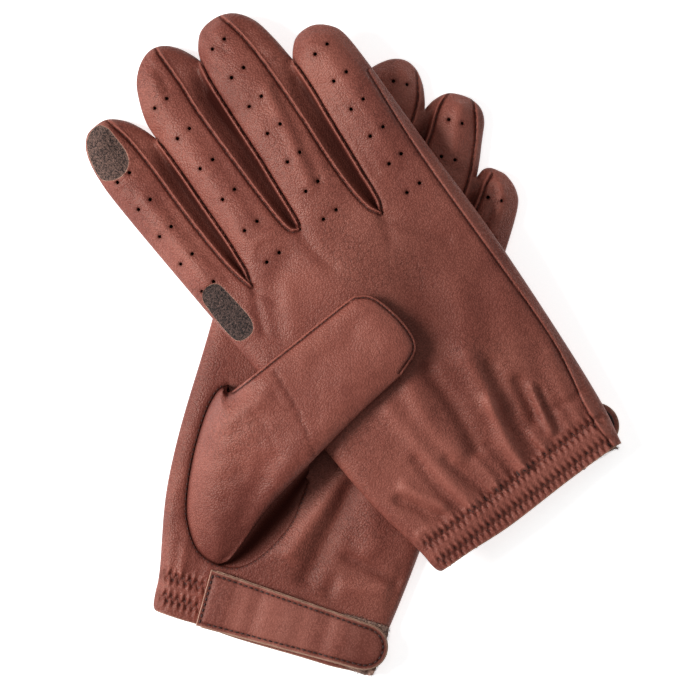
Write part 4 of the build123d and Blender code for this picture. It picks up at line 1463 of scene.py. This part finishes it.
def raised_thumb(glove, palm):
    """The lower glove's thumb and the thread round its tip."""
    thumb = RaisedThumb(glove, palm)
    near = [row[:-1] for row in side_rows(closed(thumb.loop), (0.15, 0.5, 1.1, 2.0, 3.2, 4.6))]
    near += side_rows(thumb.left, (-0.8, -1.0, -1.2, -1.5))
    uv, faces = triangulate(thumb.loop, [], [], near, RAISED_MESH, 31)
    top, shade = thumb.top(uv)
    bottom, edge = thumb.bottom(uv), thumb.edge_field(uv)
    on_edge = distance(uv, closed(thumb.loop)) < 1e-3
    top[on_edge] = edge[on_edge]
    bottom[on_edge] = edge[on_edge]
    count = len(uv)
    skirt_points, skirt_faces, skirt_shade = thumb_skirt(thumb)
    points = np.vstack([glove.world(uv, top), glove.world(uv, bottom), skirt_points])
    every = np.vstack([faces, faces[:, ::-1] + count, skirt_faces + 2 * count])
    thumb_piece(glove, points, every, np.concatenate([shade, shade, skirt_shade]), thumb_bend(glove))
    line = side_rows(thumb.left[6:-6], (-THUMB_SEAM_INSET,))[0]
    stitches = over(glove, lambda uv: thumb.top(uv)[0], *run_of_stitches(line, *THUMB_TIP_RUN), 0.05)
    sew(glove, "thumb_tip", stitches, SEAM_THREAD, thumb_bend(glove))


def thumb_skirt(thumb):
    """Leather that falls from the thumb's free edge to the seam in the palm, and forms a pocket darkened with
    painted shade.
    """
    rows, columns = SKIRT_MESH
    right = thumb.right[::-1]
    stop = np.argmin(np.linalg.norm(right - THUMB_CROTCH, axis=1))

    def spread(line):
        steps = np.concatenate([[0], np.cumsum(np.linalg.norm(np.diff(line, axis=0), axis=1))])
        s = np.linspace(0, steps[-1], columns)
        return np.column_stack([np.interp(s, steps, line[:, 0]), np.interp(s, steps, line[:, 1])])

    inner, outer = spread(right[:stop + 1]), spread(thumb.seam_right)
    inner_h = climb_of_right_side(past_bend(inner))
    points, shade, faces = [], [], []
    for share in np.linspace(0, 1, rows):
        uv = inner + (outer - inner) * share
        palm_h = thumb.palm.height(uv)
        fall = (1 - soft_step(share / 0.75))**1.6
        h = palm_h - 0.4 + (inner_h - palm_h + 0.4) * fall - 0.8 * math.sin(share * math.pi)
        h = np.where(share < 1, h, palm_h - 0.2)
        points.append(thumb.glove.world(uv, h))
        # Painted shade in the pocket under the thumb's free edge
        shade.append(np.full(columns, -1.1 * math.sin(math.pi * (0.25 + 0.65 * share))))
    for row in range(rows - 1):
        for k in range(columns - 1):
            a = row * columns + k
            faces += [(a, a + columns, a + columns + 1), (a, a + columns + 1, a + 1)]
    return np.vstack(points), np.array(faces)[:, ::-1], np.concatenate(shade)


def thumb_bend(glove):
    """The thumb's body, and the stretch across its crease where it bends."""
    ends = glove.world(np.array([THUMB_BEND - 9 * THUMB_AXIS, THUMB_BEND + 7 * THUMB_AXIS]), RAISED_TOP)
    return "thumb", tuple(ends[0]), tuple(ends[1])


def flat_thumb(glove):
    """The upper glove's thumb, pressed flat under its palm."""
    left = curve([THUMB_SEAM[0], *THUMB_LEFT], 1.2)
    seam = curve(THUMB_SEAM, 1.2)
    right = curve([THUMB_LEFT[-1], (14.9, 99.3), (5.5, 80), THUMB_SEAM[-1]], 1.2)
    loop = np.vstack([left[:-1], right[:-1], seam[::-1][:-1]])[::-1]
    near = [row[:-1] for row in side_rows(closed(loop), (0.2, 0.6, 1.3, 2.4, 3.6))]
    uv, faces = triangulate(loop, [], [], near, FLAT_MESH, 41)
    away = distance(uv, closed(loop))
    swell = 0.25 * waves(uv, 22, 43) * soft_step(away / 4)
    edge = THICKNESS + FLAT_THUMB / 2 * (1 - bell(distance(uv, seam), 3))
    outer = edge + (THICKNESS + FLAT_THUMB - 0.35 - edge) * dome(away / 6) + np.minimum(swell, 0.1)
    inner = edge - (edge - THICKNESS - 0.15) * dome(away / 4)
    seam_line = distance(uv, side_rows(left, (-THUMB_SEAM_INSET,))[0])
    outer -= 0.4 * bell(seam_line, 0.5) * soft_step(away / 1.0)
    # Painted shade along the seam's groove
    shade = -0.7 * bell(seam_line, 0.5)
    points = np.vstack([glove.world(uv, outer), glove.world(uv, inner)])
    every = np.vstack([faces, faces[:, ::-1] + len(uv)])[:, ::-1]
    thumb_piece(glove, points, every, np.tile(shade, 2))
    line = side_rows(left[6:-6], (-THUMB_SEAM_INSET,))[0]
    stitches = over(glove, lambda uv: np.full(len(uv), THICKNESS + FLAT_THUMB - 1.0),
                    *run_of_stitches(line, *THUMB_TIP_RUN), 0)
    sew(glove, "thumb_tip", stitches, SEAM_THREAD)


# ---- the pair ----

def make_glove(**settings):
    """All the pieces of one glove."""
    glove = Glove(**settings)
    back, palm = Surface(glove, True), Surface(glove, False)
    hand_shell(glove, (back, palm))
    glove_threads(glove, back, palm)
    wrist_elastic(glove, back, palm)
    strap(glove, palm)
    if glove.palm_up:
        raised_thumb(glove, palm)
    else:
        flat_thumb(glove)


# ---- stage ----

# Camera, floor and lamps, in metres. The camera's turn is the angle from the frame's x to the photo's right
CAMERA_DISTANCE = 1.5
FIELD = 0.294
CAMERA_TURN = math.radians(12.9)
CAMERA_CENTRE = (0.0041, 0.0003)
SENSOR = 36
FLOOR_HALF = 6
SKY_STRENGTH = 0.21
# Round lamps: name, place along the photo's right and up, height, size, power
LAMPS = [("key", (-0.62, 0.02), 0.53, 0.38, 7.4), ("fill", (0.9, 0.5), 0.8, 0.9, 1.0),
         ("top", (-0.1, 0.3), 1.2, 0.5, 1.2)]


def stage():
    """A pale floor, three lamps and the photo's camera."""
    mesh = bpy.data.meshes.new("floor")
    corners = [(-1, -1), (1, -1), (1, 1), (-1, 1)]
    mesh.from_pydata([(FLOOR_HALF * x, FLOOR_HALF * y, 0) for x, y in corners], [], [(0, 1, 2, 3)])
    floor = bpy.data.objects.new("floor", mesh)
    bpy.context.scene.collection.objects.link(floor)
    mesh.materials.append(Paint("floor").surface({
        "Base Color": (0.93, 0.93, 0.93, 1), "Roughness": 0.8,
        "Emission Color": (1, 1, 1, 1), "Emission Strength": 0.7}))

    world = bpy.context.scene.world or bpy.data.worlds.new("studio")
    bpy.context.scene.world = world
    world.use_nodes = True
    sky = world.node_tree.nodes["Background"]
    sky.inputs["Color"].default_value = (1, 1, 1, 1)
    sky.inputs["Strength"].default_value = SKY_STRENGTH
    photo_right = np.array((math.cos(CAMERA_TURN), math.sin(CAMERA_TURN)))
    photo_up = np.array((-photo_right[1], photo_right[0]))
    for name, (right, up), height, size, power in LAMPS:
        lamp = bpy.data.lights.new(name, "AREA")
        lamp.energy = power
        lamp.shape = "DISK"
        lamp.size = size
        holder = bpy.data.objects.new(name, lamp)
        holder.location = (*(right * photo_right + up * photo_up), height)
        holder.rotation_euler = (-Vector(holder.location)).to_track_quat("-Z", "Y").to_euler()
        bpy.context.scene.collection.objects.link(holder)
    bpy.context.scene.view_settings.view_transform = "Standard"

    view = bpy.data.cameras.new("camera")
    view.sensor_width = SENSOR
    view.lens = SENSOR * CAMERA_DISTANCE / FIELD
    camera = bpy.data.objects.new("camera", view)
    camera.location = (*CAMERA_CENTRE, CAMERA_DISTANCE)
    camera.rotation_euler = (0, 0, CAMERA_TURN)
    bpy.context.scene.collection.objects.link(camera)
    bpy.context.scene.camera = camera


make_glove(name="lower", v_at_mount=-3, palm_up=True, left_bulge=3.7, slim=1.0, strap_rise=0.0, seed=11)
make_glove(name="upper", v_at_mount=-2, palm_up=False, left_bulge=0.0, slim=0.0, strap_rise=2.1, seed=23)
stage()
